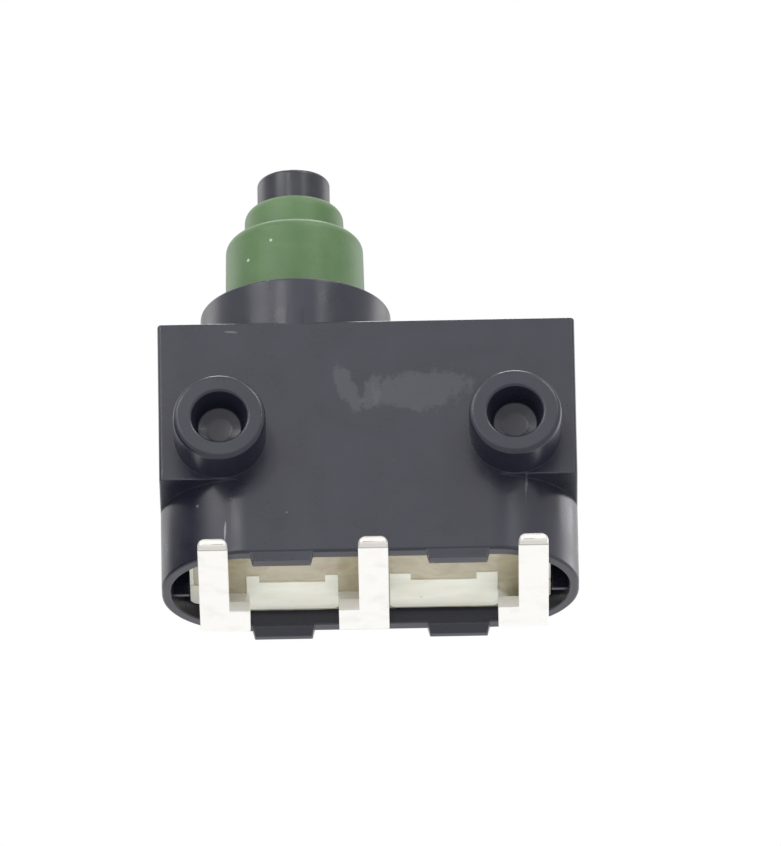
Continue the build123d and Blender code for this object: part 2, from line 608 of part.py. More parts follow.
# --- Plunger guide: clamps the boot's foot and guides the stem ------------------------------
with BuildPart() as plunger_guide:
    turned((
        (GUIDE_BORE, CAVITY_TOP),
        (COUNTERBORE - GUIDE_GAP, CAVITY_TOP),
        (COUNTERBORE - GUIDE_GAP, BOOT_FOOT_Z),
        (GUIDE_TUBE_RADIUS, BOOT_FOOT_Z),
        (GUIDE_TUBE_RADIUS, GUIDE_TUBE_TOP),
        (GUIDE_BORE, GUIDE_TUBE_TOP),
    ))
finish(plunger_guide, "plunger_guide")

# --- Boot: two-tier rubber cover -------------------------------------------------------------
with BuildPart() as boot:
    turned((
        (BOOT_LOWER_RADIUS - BOOT_WALL, BOOT_FOOT_Z),
        (BOOT_FOOT_RADIUS, BOOT_FOOT_Z),
        (BOOT_FOOT_RADIUS, LIP_Z),
        (BOOT_LOWER_RADIUS, LIP_Z),
        (BOOT_LOWER_RADIUS, BOOT_STEP_Z),
        (BOOT_UPPER_RADIUS, BOOT_STEP_Z),
        (BOOT_UPPER_RADIUS, BOOT_TOP_Z),
        (PLUNGER_RADIUS - GROOVE_DEPTH + GROOVE_GAP, BOOT_TOP_Z),
        (PLUNGER_RADIUS - GROOVE_DEPTH + GROOVE_GAP, lip_bottom),
        (PLUNGER_RADIUS + BOOT_BORE_GAP, lip_bottom),
        (PLUNGER_RADIUS + BOOT_BORE_GAP, BOOT_STEP_Z - BOOT_WALL),
        (BOOT_LOWER_RADIUS - BOOT_WALL, BOOT_STEP_Z - BOOT_WALL),
    ))
    rings = boot.edges().filter_by(GeomType.CIRCLE)
    step_ring = rings.filter_by_position(Axis.Z, BOOT_STEP_Z, BOOT_STEP_Z).sort_by(SortBy.RADIUS)[-1]
    top_ring = rings.filter_by_position(Axis.Z, BOOT_TOP_Z, BOOT_TOP_Z).sort_by(SortBy.RADIUS)[-1]
    fillet(step_ring, BOOT_LOWER_ROUND)
    fillet(top_ring, BOOT_UPPER_ROUND)
finish(boot, "boot")


# --- Coil springs ----------------------------------------------------------------------------
def coil(z, coil_radius, wire_radius, turns):
    """Wire coil about the plunger axis, seated between two heights."""
    low = z[0] + wire_radius + SEAT_GAP
    height = z[1] - wire_radius - SEAT_GAP - low
    with BuildLine() as path:
        Helix(height / turns, height, coil_radius, center=(PLUNGER_X, MID_Y, low))
    with BuildSketch(Plane(path.line @ 0, z_dir=path.line % 0)) as wire:
        RegularPolygon(wire_radius, WIRE_SIDES)
    return sweep(wire.sketch, path=path.line, is_frenet=True)


with BuildPart() as return_spring:
    coil((BOOT_FOOT_Z, FLANGE_Z), RETURN_COIL_RADIUS, RETURN_WIRE_RADIUS, RETURN_TURNS)
finish(return_spring, "return_spring")

pin_head_top = STEM_FOOT_Z + PIN_HEAD_HEIGHT
with BuildPart() as override_spring:
    coil((pin_head_top, STEM_BORE_TOP), OVERRIDE_COIL_RADIUS, OVERRIDE_WIRE_RADIUS, OVERRIDE_TURNS)
finish(override_spring, "override_spring")
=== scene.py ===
"""Sealed sub-miniature snap-action switch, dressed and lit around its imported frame.

The frame gives every place and size.  This script models the parts that the eye meets, with their rounded
edges, soft skins and small irregularities, gives every piece a finish, and lights it in a white tent.
The axes are the frame's own: X runs along the case, Y goes into it from the mounting face, and Z points
the way the plunger stands out.  Shapes are worked in millimetres and scaled to metres as they are settled.
"""
import json
import logging
import math
from collections.abc import Callable, Iterator
from contextlib import contextmanager
from dataclasses import dataclass, field
from enum import Enum

import bpy
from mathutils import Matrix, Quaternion, Vector


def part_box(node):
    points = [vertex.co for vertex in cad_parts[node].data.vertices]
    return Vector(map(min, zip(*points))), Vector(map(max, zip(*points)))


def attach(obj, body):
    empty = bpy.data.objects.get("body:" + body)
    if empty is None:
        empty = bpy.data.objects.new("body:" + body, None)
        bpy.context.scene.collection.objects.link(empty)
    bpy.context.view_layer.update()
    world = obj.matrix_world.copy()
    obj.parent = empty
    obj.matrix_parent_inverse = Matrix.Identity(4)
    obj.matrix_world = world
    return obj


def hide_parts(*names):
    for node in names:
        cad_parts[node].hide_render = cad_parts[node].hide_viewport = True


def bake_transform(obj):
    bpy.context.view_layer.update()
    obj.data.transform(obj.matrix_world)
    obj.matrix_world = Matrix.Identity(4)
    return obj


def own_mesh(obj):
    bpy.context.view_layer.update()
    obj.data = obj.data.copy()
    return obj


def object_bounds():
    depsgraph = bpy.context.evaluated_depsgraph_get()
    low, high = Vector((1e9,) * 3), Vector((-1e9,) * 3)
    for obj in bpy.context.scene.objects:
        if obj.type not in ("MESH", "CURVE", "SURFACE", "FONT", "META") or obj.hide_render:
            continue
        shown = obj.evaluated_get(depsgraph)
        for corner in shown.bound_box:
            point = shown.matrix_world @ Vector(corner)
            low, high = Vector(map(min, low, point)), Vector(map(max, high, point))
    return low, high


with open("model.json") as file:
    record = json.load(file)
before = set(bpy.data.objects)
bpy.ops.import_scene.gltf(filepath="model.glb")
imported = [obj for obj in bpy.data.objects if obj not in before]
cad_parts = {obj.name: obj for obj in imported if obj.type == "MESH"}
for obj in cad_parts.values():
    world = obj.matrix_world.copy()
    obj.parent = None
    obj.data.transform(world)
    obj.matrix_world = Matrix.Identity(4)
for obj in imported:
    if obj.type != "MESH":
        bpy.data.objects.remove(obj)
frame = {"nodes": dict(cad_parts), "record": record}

MM = 0.001
CAD_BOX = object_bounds()
log = logging.getLogger("micro_switch")


# --- Workbench ------------------------------------------------------------------------------------
class Join(Enum):
    """How one shape is put together with another."""

    ADD = "UNION"
    CUT = "DIFFERENCE"
    KEEP_SHARED = "INTERSECT"


class Pick(Enum):
    """What a hand picks on a mesh."""

    POINTS = (True, False, False)
    EDGES = (False, True, False)
    FACES = (False, False, True)


def box_mm(node: str) -> tuple[Vector, Vector]:
    """Give a frame node's lowest and highest corners in millimetres.

    Args:
        node: the node's name.

    Returns:
        The two corners.
    """
    low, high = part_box(node)
    return low / MM, high / MM


def take(piece: bpy.types.Object) -> None:
    """Leave edit mode and select one piece alone.

    Args:
        piece: the piece to work on.
    """
    if bpy.context.object and bpy.context.object.mode != "OBJECT":
        bpy.ops.object.mode_set(mode="OBJECT")
    bpy.ops.object.select_all(action="DESELECT")
    piece.select_set(True)
    bpy.context.view_layer.objects.active = piece


@contextmanager
def picked(piece: bpy.types.Object, kind: Pick, test: Callable[..., bool]) -> Iterator[None]:
    """Work in edit mode on the points, edges or faces that pass a test.

    Args:
        piece: the piece to work on.
        kind: what to pick.
        test: takes a point's place, an edge's middle and direction, or a face's middle and normal.
    """
    take(piece)
    mesh = piece.data
    for group in (mesh.vertices, mesh.edges, mesh.polygons):
        group.foreach_set("select", [False] * len(group))
    if kind is Pick.POINTS:
        for point in mesh.vertices:
            point.select = test(point.co)
    elif kind is Pick.EDGES:
        for edge in mesh.edges:
            start, end = (mesh.vertices[i].co for i in edge.vertices)
            edge.select = test((start + end) / 2, (end - start).normalized())
    else:
        for face in mesh.polygons:
            face.select = test(face.center, face.normal)
    bpy.context.tool_settings.mesh_select_mode = kind.value
    bpy.ops.object.mode_set(mode="EDIT")
    yield
    bpy.ops.object.mode_set(mode="OBJECT")


def everything(*_place: Vector) -> bool:
    """Pick all there is."""
    return True


def block(name: str, low: tuple[float, float, float], high: tuple[float, float, float]) -> bpy.types.Object:
    """Start a shape from a block between two corners.

    Args:
        name: the shape's name.
        low: its lowest corner.
        high: its highest corner.

    Returns:
        The block, with its place in its mesh.
    """
    low, high = Vector(low), Vector(high)
    if bpy.context.object and bpy.context.object.mode != "OBJECT":
        bpy.ops.object.mode_set(mode="OBJECT")
    bpy.ops.object.select_all(action="DESELECT")
    bpy.ops.mesh.primitive_cube_add(size=1, location=(low + high) / 2)
    piece = bpy.context.active_object
    piece.name = name
    piece.scale = high - low
    bpy.ops.object.transform_apply(location=True, rotation=True, scale=True)
    return piece


def rounded(piece: bpy.types.Object, reach: float, steps: int, test: Callable[..., bool]) -> None:
    """Bevel the edges that pass a test into a round.

    Args:
        piece: the piece to work on.
        reach: the round's radius.
        steps: how many facets it has.
        test: takes an edge's middle and direction.
    """
    with picked(piece, Pick.EDGES, test):
        bpy.ops.mesh.bevel(offset=reach, segments=steps, affect="EDGES")


def combine(piece: bpy.types.Object, other: bpy.types.Object, how: Join) -> None:
    """Add, cut or intersect one shape with another, which is used up.

    Args:
        piece: the shape that stays.
        other: the shape that is used up.
        how: what to do.
    """
    take(piece)
    bpy.ops.object.modifier_add(type="BOOLEAN")
    change = piece.modifiers[-1]
    change.operation = how.value
    change.object = other
    change.solver = "EXACT"
    bpy.ops.object.modifier_apply(modifier=change.name)
    bpy.data.objects.remove(other)


def eased(corners: list[tuple[float, float, float]], steps: int = 6) -> list[tuple[float, float]]:
    """Round the corners of a profile.

    Args:
        corners: (radius, height, round) of each corner in turn; a round of 0 stays sharp.
        steps: facets in each round.

    Returns:
        The profile's (radius, height) points.
    """
    points: list[tuple[float, float]] = []
    for i, (across, up, reach) in enumerate(corners):
        here = Vector((across, up))
        if reach == 0:
            points.append((across, up))
            continue
        back = (Vector(corners[i - 1][:2]) - here).normalized()
        ahead = (Vector(corners[(i + 1) % len(corners)][:2]) - here).normalized()
        half = back.angle(ahead) / 2
        centre = here + (back + ahead).normalized() * (reach / math.sin(half))
        start = here + back * (reach / math.tan(half)) - centre
        end = here + ahead * (reach / math.tan(half)) - centre
        first = math.atan2(start.y, start.x)
        swing = (math.atan2(end.y, end.x) - first + math.pi) % math.tau - math.pi
        for k in range(steps + 1):
            angle = first + swing * k / steps
            points.append((centre.x + reach * math.cos(angle), centre.y + reach * math.sin(angle)))
    return points


def turned(name: str, profile: list[tuple[float, float]], centre: tuple[float, float, float],
           along: str = "Z", steps: int = 96) -> bpy.types.Object:
    """Turn a closed profile about an axis, as on a lathe.

    Args:
        name: the shape's name.
        profile: (radius, height) points; the last is joined to the first.
        centre: a point of the axis, at height 0.
        along: the axis, Z or Y.
        steps: facets in one turn.

    Returns:
        The turned shape.
    """
    rise = Vector((0, 0, 1)) if along == "Z" else Vector((0, 1, 0))
    line = [Vector(centre) + Vector((r, 0, 0)) + rise * h for r, h in (*profile, profile[0])]
    piece = block(name, line[0] - Vector((0.01, 0.01, 0.01)), line[0] + Vector((0.01, 0.01, 0.01)))
    with picked(piece, Pick.POINTS, everything):
        bpy.ops.mesh.merge(type="CENTER")
        for start, end in zip(line, line[1:]):
            bpy.ops.mesh.extrude_vertices_move(TRANSFORM_OT_translate={"value": end - start})
        bpy.ops.mesh.select_all(action="SELECT")
        bpy.ops.mesh.spin(steps=steps, angle=math.tau, center=centre, axis=rise)
        bpy.ops.mesh.select_all(action="SELECT")
        bpy.ops.mesh.remove_doubles(threshold=1e-4)
        bpy.ops.mesh.normals_make_consistent(inside=False)
    return piece


def twin(piece: bpy.types.Object, name: str, shift: tuple[float, float, float]) -> bpy.types.Object:
    """Copy a shape, with its own mesh, to another place.

    Args:
        piece: the shape to copy.
        name: the copy's name.
        shift: how far to move it.

    Returns:
        The copy.
    """
    take(piece)
    bpy.ops.object.duplicate()
    copy = bpy.context.active_object
    copy.name = name
    copy.location = Vector(shift)
    bpy.ops.object.transform_apply(location=True, rotation=True, scale=True)
    return copy


def from_frame(node: str, name: str) -> bpy.types.Object:
    """Start a piece from a merged copy of a frame node's mesh, with whole faces instead of triangles.

    Args:
        node: the node to copy.
        name: the piece's name.

    Returns:
        The copy, in millimetres.
    """
    piece = bpy.data.objects.new(name, frame["nodes"][node].data.copy())
    bpy.context.scene.collection.objects.link(piece)
    take(piece)
    bpy.ops.mesh.customdata_custom_splitnormals_clear()
    piece.data.materials.clear()
    piece.scale = (1 / MM,) * 3
    bpy.ops.object.transform_apply(location=True, rotation=True, scale=True)
    with picked(piece, Pick.POINTS, everything):
        bpy.ops.mesh.remove_doubles(threshold=1e-3)
        bpy.ops.mesh.dissolve_limited(angle_limit=math.radians(1))
    return piece


def soften(piece: bpy.types.Object, reach: float, steps: int = 2, sharper_than: float = 35) -> None:
    """Break every sharp edge of a piece with a small round.

    Args:
        piece: the piece to work on.
        reach: the round's reach.
        steps: facets in the round.
        sharper_than: the least angle, in degrees, that counts as sharp.
    """
    take(piece)
    bpy.ops.object.modifier_add(type="BEVEL")
    change = piece.modifiers[-1]
    change.width = reach
    change.segments = steps
    change.limit_method = "ANGLE"
    change.angle_limit = math.radians(sharper_than)
    change.use_clamp_overlap = True
    bpy.ops.object.modifier_apply(modifier=change.name)


def settle(piece: bpy.types.Object, finish: "Finish", body: str, *nodes: str, smooth: float = 38) -> None:
    """Finish a piece: smooth shading, metres, its finish, its body and the nodes that it stands for.

    Args:
        piece: the piece, in millimetres.
        finish: its finish.
        body: the body that it rides on.
        *nodes: the frame nodes that it stands for.
        smooth: edges flatter than this many degrees are shaded smooth.
    """
    take(piece)
    bpy.ops.object.shade_smooth_by_angle(angle=math.radians(smooth))
    bpy.ops.object.modifier_add(type="WEIGHTED_NORMAL")
    change = piece.modifiers[-1]
    change.keep_sharp = True
    change.weight = 60
    bpy.ops.object.modifier_apply(modifier=change.name)
    piece.scale = (MM,) * 3
    bpy.ops.object.transform_apply(location=True, rotation=True, scale=True)
    piece.data.materials.clear()
    piece.data.materials.append(finish.material())
    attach(piece, body)
    if nodes:
        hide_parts(*nodes)
    log.info("%s: %d faces", piece.name, len(piece.data.polygons))


# --- Colour and nodes -----------------------------------------------------------------------------
def linear(code: str) -> tuple[float, float, float, float]:
    """Turn an sRGB hex code into the linear colour that the shaders take.

    Args:
        code: six hex digits, such as "6a8b5e".

    Returns:
        Red, green, blue and an alpha of 1.
    """
    parts = [int(code[i:i + 2], 16) / 255 for i in (0, 2, 4)]
    return (*[c / 12.92 if c <= 0.04045 else ((c + 0.055) / 1.055) ** 2.4 for c in parts], 1.0)


def per_mm(size: float) -> float:
    """Give the texture scale at which one step of a pattern is so many millimetres."""
    return 1 / (size * MM)


def add_node(tree: bpy.types.NodeTree, kind: str, inputs: dict | None = None, **settings) -> bpy.types.Node:
    """Add one node with its settings, values and links.

    Args:
        tree: the node tree to add it to.
        kind: the node's type name, without the leading ShaderNode.
        inputs: socket name or index to a value, or to an output socket to link.
        **settings: properties of the node itself.

    Returns:
        The new node.
    """
    node = tree.nodes.new("ShaderNode" + kind)
    for name, value in settings.items():
        setattr(node, name, value)
    for key, value in (inputs or {}).items():
        if isinstance(value, bpy.types.NodeSocket):
            tree.links.new(value, node.inputs[key])
        else:
            node.inputs[key].default_value = value
    return node


@dataclass(frozen=True)
class Finish:
    """What every finish has; each real material adds its own surface."""

    name: str
    slot: str
    colour: str
    roughness: float = 0.4
    metallic: float = 0.0
    ior: float = 1.5

    def material(self) -> bpy.types.Material:
        """Build the material, once.

        Returns:
            The finished material.
        """
        known = bpy.data.materials.get(self.name)
        if known:
            return known
        material = bpy.data.materials.new(self.name)
        material.use_nodes = True
        tree = material.node_tree
        tree.nodes.clear()
        add_node(tree, "OutputMaterial", {"Surface": self.surface(tree)})
        return material

    def surface(self, tree: bpy.types.NodeTree) -> bpy.types.NodeSocket:
        """Build the plain surface with a faint unevenness.

        Args:
            tree: the material's node tree.

        Returns:
            The shader's output.
        """
        place = add_node(tree, "TexCoord").outputs["Object"]
        cloud = add_node(tree, "TexNoise", {"Vector": place, "Scale": per_mm(0.5), "Detail": 3.0})
        rough = add_node(tree, "MapRange", {
            "Value": cloud.outputs[0], "To Min": self.roughness - 0.06, "To Max": self.roughness + 0.06,
        })
        return add_node(tree, "BsdfPrincipled", {
            "Base Color": linear(self.colour), "Roughness": rough.outputs[0],
            "Metallic": self.metallic, "IOR": self.ior,
        }).outputs[0]


@dataclass(frozen=True)
class Stroke:
    """One mark on the mounting face, in millimetres, as a leaning ellipse with ragged edges."""

    x: float
    z: float
    wide: float          # half width
    tall: float          # half height
    lean: float          # degrees
    colour: str = "4b4b54"
    strength: float = 0.45


WORN_PRINT = (
    Stroke(-0.62, 1.6, 0.5, 1.45, -25), Stroke(0.16, 1.45, 0.42, 1.2, 16), Stroke(1.7, 1.5, 2.5, 1.15, -6),
)
# Scuffs, and one pale vertical streak under the right peg, Stroke(5.0, -2.0), which is a painted highlight where a
# lamp's reflection falls on the skirt.
SCUFFS_AND_GLINT_STREAK = (
    Stroke(-4.58, -3.3, 0.05, 0.62, 3, "8a8b94", 0.75), Stroke(5.0, -2.0, 0.07, 0.8, 4, "63646d", 0.7),
    Stroke(-4.3, 3.65, 0.34, 0.05, 4, "63646d", 0.7),
)


@dataclass(frozen=True)
class MouldedBlack(Finish):
    """Glass-filled black PBT, injection moulded in a spark-eroded tool.

    The eye sees a satin skin, bluish grey where the tent reflects in it, a fine even grain, slow sink
    marks, edges painted a little paler, partly for rubbing and partly as a painted highlight, and, on the
    mounting face, the pale smear of a wiped-off print, scuffs and one painted highlight streak.
    """

    pale: str = "242533"
    grain: float = 0.16           # spark-eroded grit is about 0.03 mm; drawn coarser so that it shows
    mottle: float = 1.3
    sink: float = 2.2
    marks: tuple[Stroke, ...] = WORN_PRINT + SCUFFS_AND_GLINT_STREAK

    def surface(self, tree: bpy.types.NodeTree) -> bpy.types.NodeSocket:
        """Build the skin, its rubbed edges and the smear.

        Args:
            tree: the material's node tree.

        Returns:
            The shader's output.
        """
        place = add_node(tree, "TexCoord").outputs["Object"]
        mottle = add_node(tree, "TexNoise", {
            "Vector": place, "Scale": per_mm(self.mottle), "Detail": 4.0, "Roughness": 0.6,
        })
        skin = add_node(tree, "MapRange", {
            "Value": mottle.outputs[0], "From Min": 0.3, "From Max": 0.75,
        })
        tint = add_node(tree, "Mix", {
            0: skin.outputs[0], 6: linear(self.colour), 7: linear(self.pale),
        }, data_type="RGBA")

        # Rubbed edges and a painted highlight: every edge where the rounded normal leaves the true one is painted
        # paler, standing in both for wear and for the lamps' highlight on the rounds.
        soft = add_node(tree, "Bevel", {"Radius": 0.09 * MM}, samples=4)
        true = add_node(tree, "NewGeometry")
        match = add_node(tree, "VectorMath", {
            0: soft.outputs[0], 1: true.outputs["Normal"],
        }, operation="DOT_PRODUCT")
        rub_and_sheen = add_node(tree, "MapRange", {
            "Value": match.outputs["Value"], "From Min": 0.99, "From Max": 0.88, "To Max": 0.35,
        })
        edge_patches = add_node(tree, "TexNoise", {"Vector": place, "Scale": per_mm(0.5), "Detail": 3.0})
        rub_and_sheen = add_node(tree, "Math", {0: rub_and_sheen.outputs[0], 1: edge_patches.outputs[0]}, operation="MULTIPLY")
        tint = add_node(tree, "Mix", {
            0: rub_and_sheen.outputs[0], 6: tint.outputs[2], 7: linear("7d7e88"),
        }, data_type="RGBA")

        # The worn print, the scuffs and the painted highlight streak: ragged strokes, on the mounting face only.
        torn = add_node(tree, "TexNoise", {"Vector": place, "Scale": per_mm(0.5), "Detail": 5.0, "Roughness": 0.65})
        torn = add_node(tree, "MapRange", {
            "Value": torn.outputs[0], "From Min": 0.3, "From Max": 0.7, "To Min": -0.3, "To Max": 0.3,
        })
        for stroke in self.marks:
            local = add_node(tree, "Mapping", {
                "Vector": place, "Location": (stroke.x * MM, 0, stroke.z * MM),
                "Rotation": (0, math.radians(stroke.lean), 0),
                "Scale": (stroke.wide * MM, 0.8 * MM, stroke.tall * MM),
            }, vector_type="TEXTURE")
            near = add_node(tree, "TexGradient", {"Vector": local.outputs[0]}, gradient_type="SPHERICAL")
            ragged = add_node(tree, "Math", {0: near.outputs[1], 1: torn.outputs[0]}, operation="ADD")
            mark = add_node(tree, "MapRange", {
                "Value": ragged.outputs[0], "From Min": 0.32, "From Max": 0.5, "To Max": stroke.strength,
            })
            tint = add_node(tree, "Mix", {
                0: mark.outputs[0], 6: tint.outputs[2], 7: linear(stroke.colour),
            }, data_type="RGBA")

        # Lint: a few pale specks.
        specks = add_node(tree, "TexVoronoi", {"Vector": place, "Scale": per_mm(1.7)})
        speck = add_node(tree, "MapRange", {
            "Value": specks.outputs["Distance"], "From Min": 0.035, "From Max": 0.015, "To Max": 0.4,
        })
        tint = add_node(tree, "Mix", {
            0: speck.outputs[0], 6: tint.outputs[2], 7: linear("a9a9ae"),
        }, data_type="RGBA")

        rough = add_node(tree, "MapRange", {
            "Value": mottle.outputs[0], "From Min": 0.3, "From Max": 0.7,
            "To Min": self.roughness - 0.05, "To Max": self.roughness + 0.07,
        })
        grit = add_node(tree, "TexNoise", {
            "Vector": place, "Scale": per_mm(self.grain), "Detail": 2.0, "Roughness": 0.55,
        })
        fine = add_node(tree, "Bump", {"Height": grit.outputs[0], "Distance": 0.0015 * MM, "Strength": 1.0})
        slow = add_node(tree, "TexNoise", {"Vector": place, "Scale": per_mm(self.sink), "Detail": 1.0})
        bump = add_node(tree, "Bump", {
            "Height": slow.outputs[0], "Distance": 0.035 * MM, "Strength": 1.0, "Normal": fine.outputs[0],
        })
        return add_node(tree, "BsdfPrincipled", {
            "Base Color": tint.outputs[2], "Roughness": rough.outputs[0], "IOR": self.ior,
            "Normal": bump.outputs[0],
        }).outputs[0]


@dataclass(frozen=True)
class MouldedRubber(Finish):
    """Green silicone rubber, compression moulded.

    The eye sees a soft leaf green, even and satin, with a faint bloom, pin-prick pores and a speck or
    two of white lint that rubber always picks up.
    """

    bloom: str = "7d9870"
    lint: tuple[tuple[float, float, float], ...] = ((-3.73, 1.39, 6.85), (-3.0, 0.94, 7.35))

    def surface(self, tree: bpy.types.NodeTree) -> bpy.types.NodeSocket:
        """Build the rubber skin with its bloom, pores and lint.

        Args:
            tree: the material's node tree.

        Returns:
            The shader's output.
        """
        place = add_node(tree, "TexCoord").outputs["Object"]
        cloud = add_node(tree, "TexNoise", {
            "Vector": place, "Scale": per_mm(1.4), "Detail": 4.0, "Roughness": 0.6,
        })
        film = add_node(tree, "MapRange", {
            "Value": cloud.outputs[0], "From Min": 0.35, "From Max": 0.85, "To Max": 0.35,
        })
        tint = add_node(tree, "Mix", {
            0: film.outputs[0], 6: linear(self.colour), 7: linear(self.bloom),
        }, data_type="RGBA")
        for spot in self.lint:
            away = add_node(tree, "VectorMath", {
                0: place, 1: tuple(v * MM for v in spot),
            }, operation="DISTANCE")
            dot = add_node(tree, "MapRange", {
                "Value": away.outputs["Value"], "From Min": 0.07 * MM, "From Max": 0.03 * MM, "To Max": 0.7,
            })
            tint = add_node(tree, "Mix", {
                0: dot.outputs[0], 6: tint.outputs[2], 7: linear("d5dfc8"),
            }, data_type="RGBA")
        pores = add_node(tree, "TexNoise", {
            "Vector": place, "Scale": per_mm(0.16), "Detail": 2.0,
        })
        bump = add_node(tree, "Bump", {"Height": pores.outputs[0], "Distance": 0.006 * MM, "Strength": 1.0})
        rough = add_node(tree, "MapRange", {
            "Value": cloud.outputs[0], "To Min": self.roughness - 0.06, "To Max": self.roughness + 0.08,
        })
        return add_node(tree, "BsdfPrincipled", {
            "Base Color": tint.outputs[2], "Roughness": rough.outputs[0], "IOR": self.ior,
            "Normal": bump.outputs[0], "Sheen Weight": 0.12, "Sheen Roughness": 0.4,
            "Subsurface Weight": 0.08, "Subsurface Scale": 0.25 * MM,
        }).outputs[0]


@dataclass(frozen=True)
class MouldedCream(Finish):
    """Natural PBT, injection moulded.

    The eye sees a warm off-white that lets a little light in, so its thin edges glow, with a dull skin,
    faint flow clouds and a few tan specks.
    """

    cloud: str = "e6e5d4"

    def surface(self, tree: bpy.types.NodeTree) -> bpy.types.NodeSocket:
        """Build the skin with its flow clouds and specks.

        Args:
            tree: the material's node tree.

        Returns:
            The shader's output.
        """
        place = add_node(tree, "TexCoord").outputs["Object"]
        stretch = add_node(tree, "Mapping", {"Vector": place, "Scale": (0.4, 1.0, 1.0)})
        flow = add_node(tree, "TexNoise", {
            "Vector": stretch.outputs[0], "Scale": per_mm(0.7), "Detail": 4.0, "Distortion": 0.6,
        })
        drift = add_node(tree, "MapRange", {
            "Value": flow.outputs[0], "From Min": 0.42, "From Max": 0.75, "To Max": 0.8,
        })
        tint = add_node(tree, "Mix", {
            0: drift.outputs[0], 6: linear(self.colour), 7: linear(self.cloud),
        }, data_type="RGBA")
        specks = add_node(tree, "TexVoronoi", {"Vector": place, "Scale": per_mm(0.8)})
        speck = add_node(tree, "MapRange", {
            "Value": specks.outputs["Distance"], "From Min": 0.09, "From Max": 0.04, "To Max": 0.45,
        })
        tint = add_node(tree, "Mix", {
            0: speck.outputs[0], 6: tint.outputs[2], 7: linear("b3a98c"),
        }, data_type="RGBA")
        bump = add_node(tree, "Bump", {"Height": flow.outputs[0], "Distance": 0.01 * MM, "Strength": 1.0})
        return add_node(tree, "BsdfPrincipled", {
            "Base Color": tint.outputs[2], "Roughness": self.roughness, "IOR": self.ior,
            "Normal": bump.outputs[0], "Subsurface Weight": 0.25, "Subsurface Scale": 0.15 * MM,
        }).outputs[0]


@dataclass(frozen=True)
class CuredResin(Finish):
    """Two-part epoxy, poured and cured.

    The eye sees a glossy beige pool with soft clouds of brown and grey, which turns to olive where it
    thins out up the dark front wall.
    """

    cloud: str = "a59b7e"
    thin: str = "857c60"

    def surface(self, tree: bpy.types.NodeTree) -> bpy.types.NodeSocket:
        """Build the pool with its clouds.

        Args:
            tree: the material's node tree.

        Returns:
            The shader's output.
        """
        place = add_node(tree, "TexCoord").outputs["Object"]
        swirl = add_node(tree, "TexNoise", {
            "Vector": place, "Scale": per_mm(1.0), "Detail": 4.0, "Distortion": 1.0,
        })
        depth = add_node(tree, "MapRange", {
            "Value": swirl.outputs[0], "From Min": 0.4, "From Max": 0.7, "To Max": 0.75,
        })
        tint = add_node(tree, "Mix", {
            0: depth.outputs[0], 6: linear(self.colour), 7: linear(self.cloud),
        }, data_type="RGBA")
        up = add_node(tree, "SeparateXYZ", {0: place})
        rim = add_node(tree, "MapRange", {
            "Value": up.outputs["Z"], "From Min": -3.58 * MM, "From Max": -3.8 * MM, "To Max": 0.75,
        })
        tint = add_node(tree, "Mix", {
            0: rim.outputs[0], 6: tint.outputs[2], 7: linear(self.thin),
        }, data_type="RGBA")
        ripple = add_node(tree, "TexNoise", {"Vector": place, "Scale": per_mm(0.45), "Detail": 2.0})
        bump = add_node(tree, "Bump", {"Height": ripple.outputs[0], "Distance": 0.02 * MM, "Strength": 1.0})
        return add_node(tree, "BsdfPrincipled", {
            "Base Color": tint.outputs[2], "Roughness": self.roughness, "IOR": self.ior,
            "Normal": bump.outputs[0], "Subsurface Weight": 0.2, "Subsurface Scale": 0.2 * MM,
        }).outputs[0]


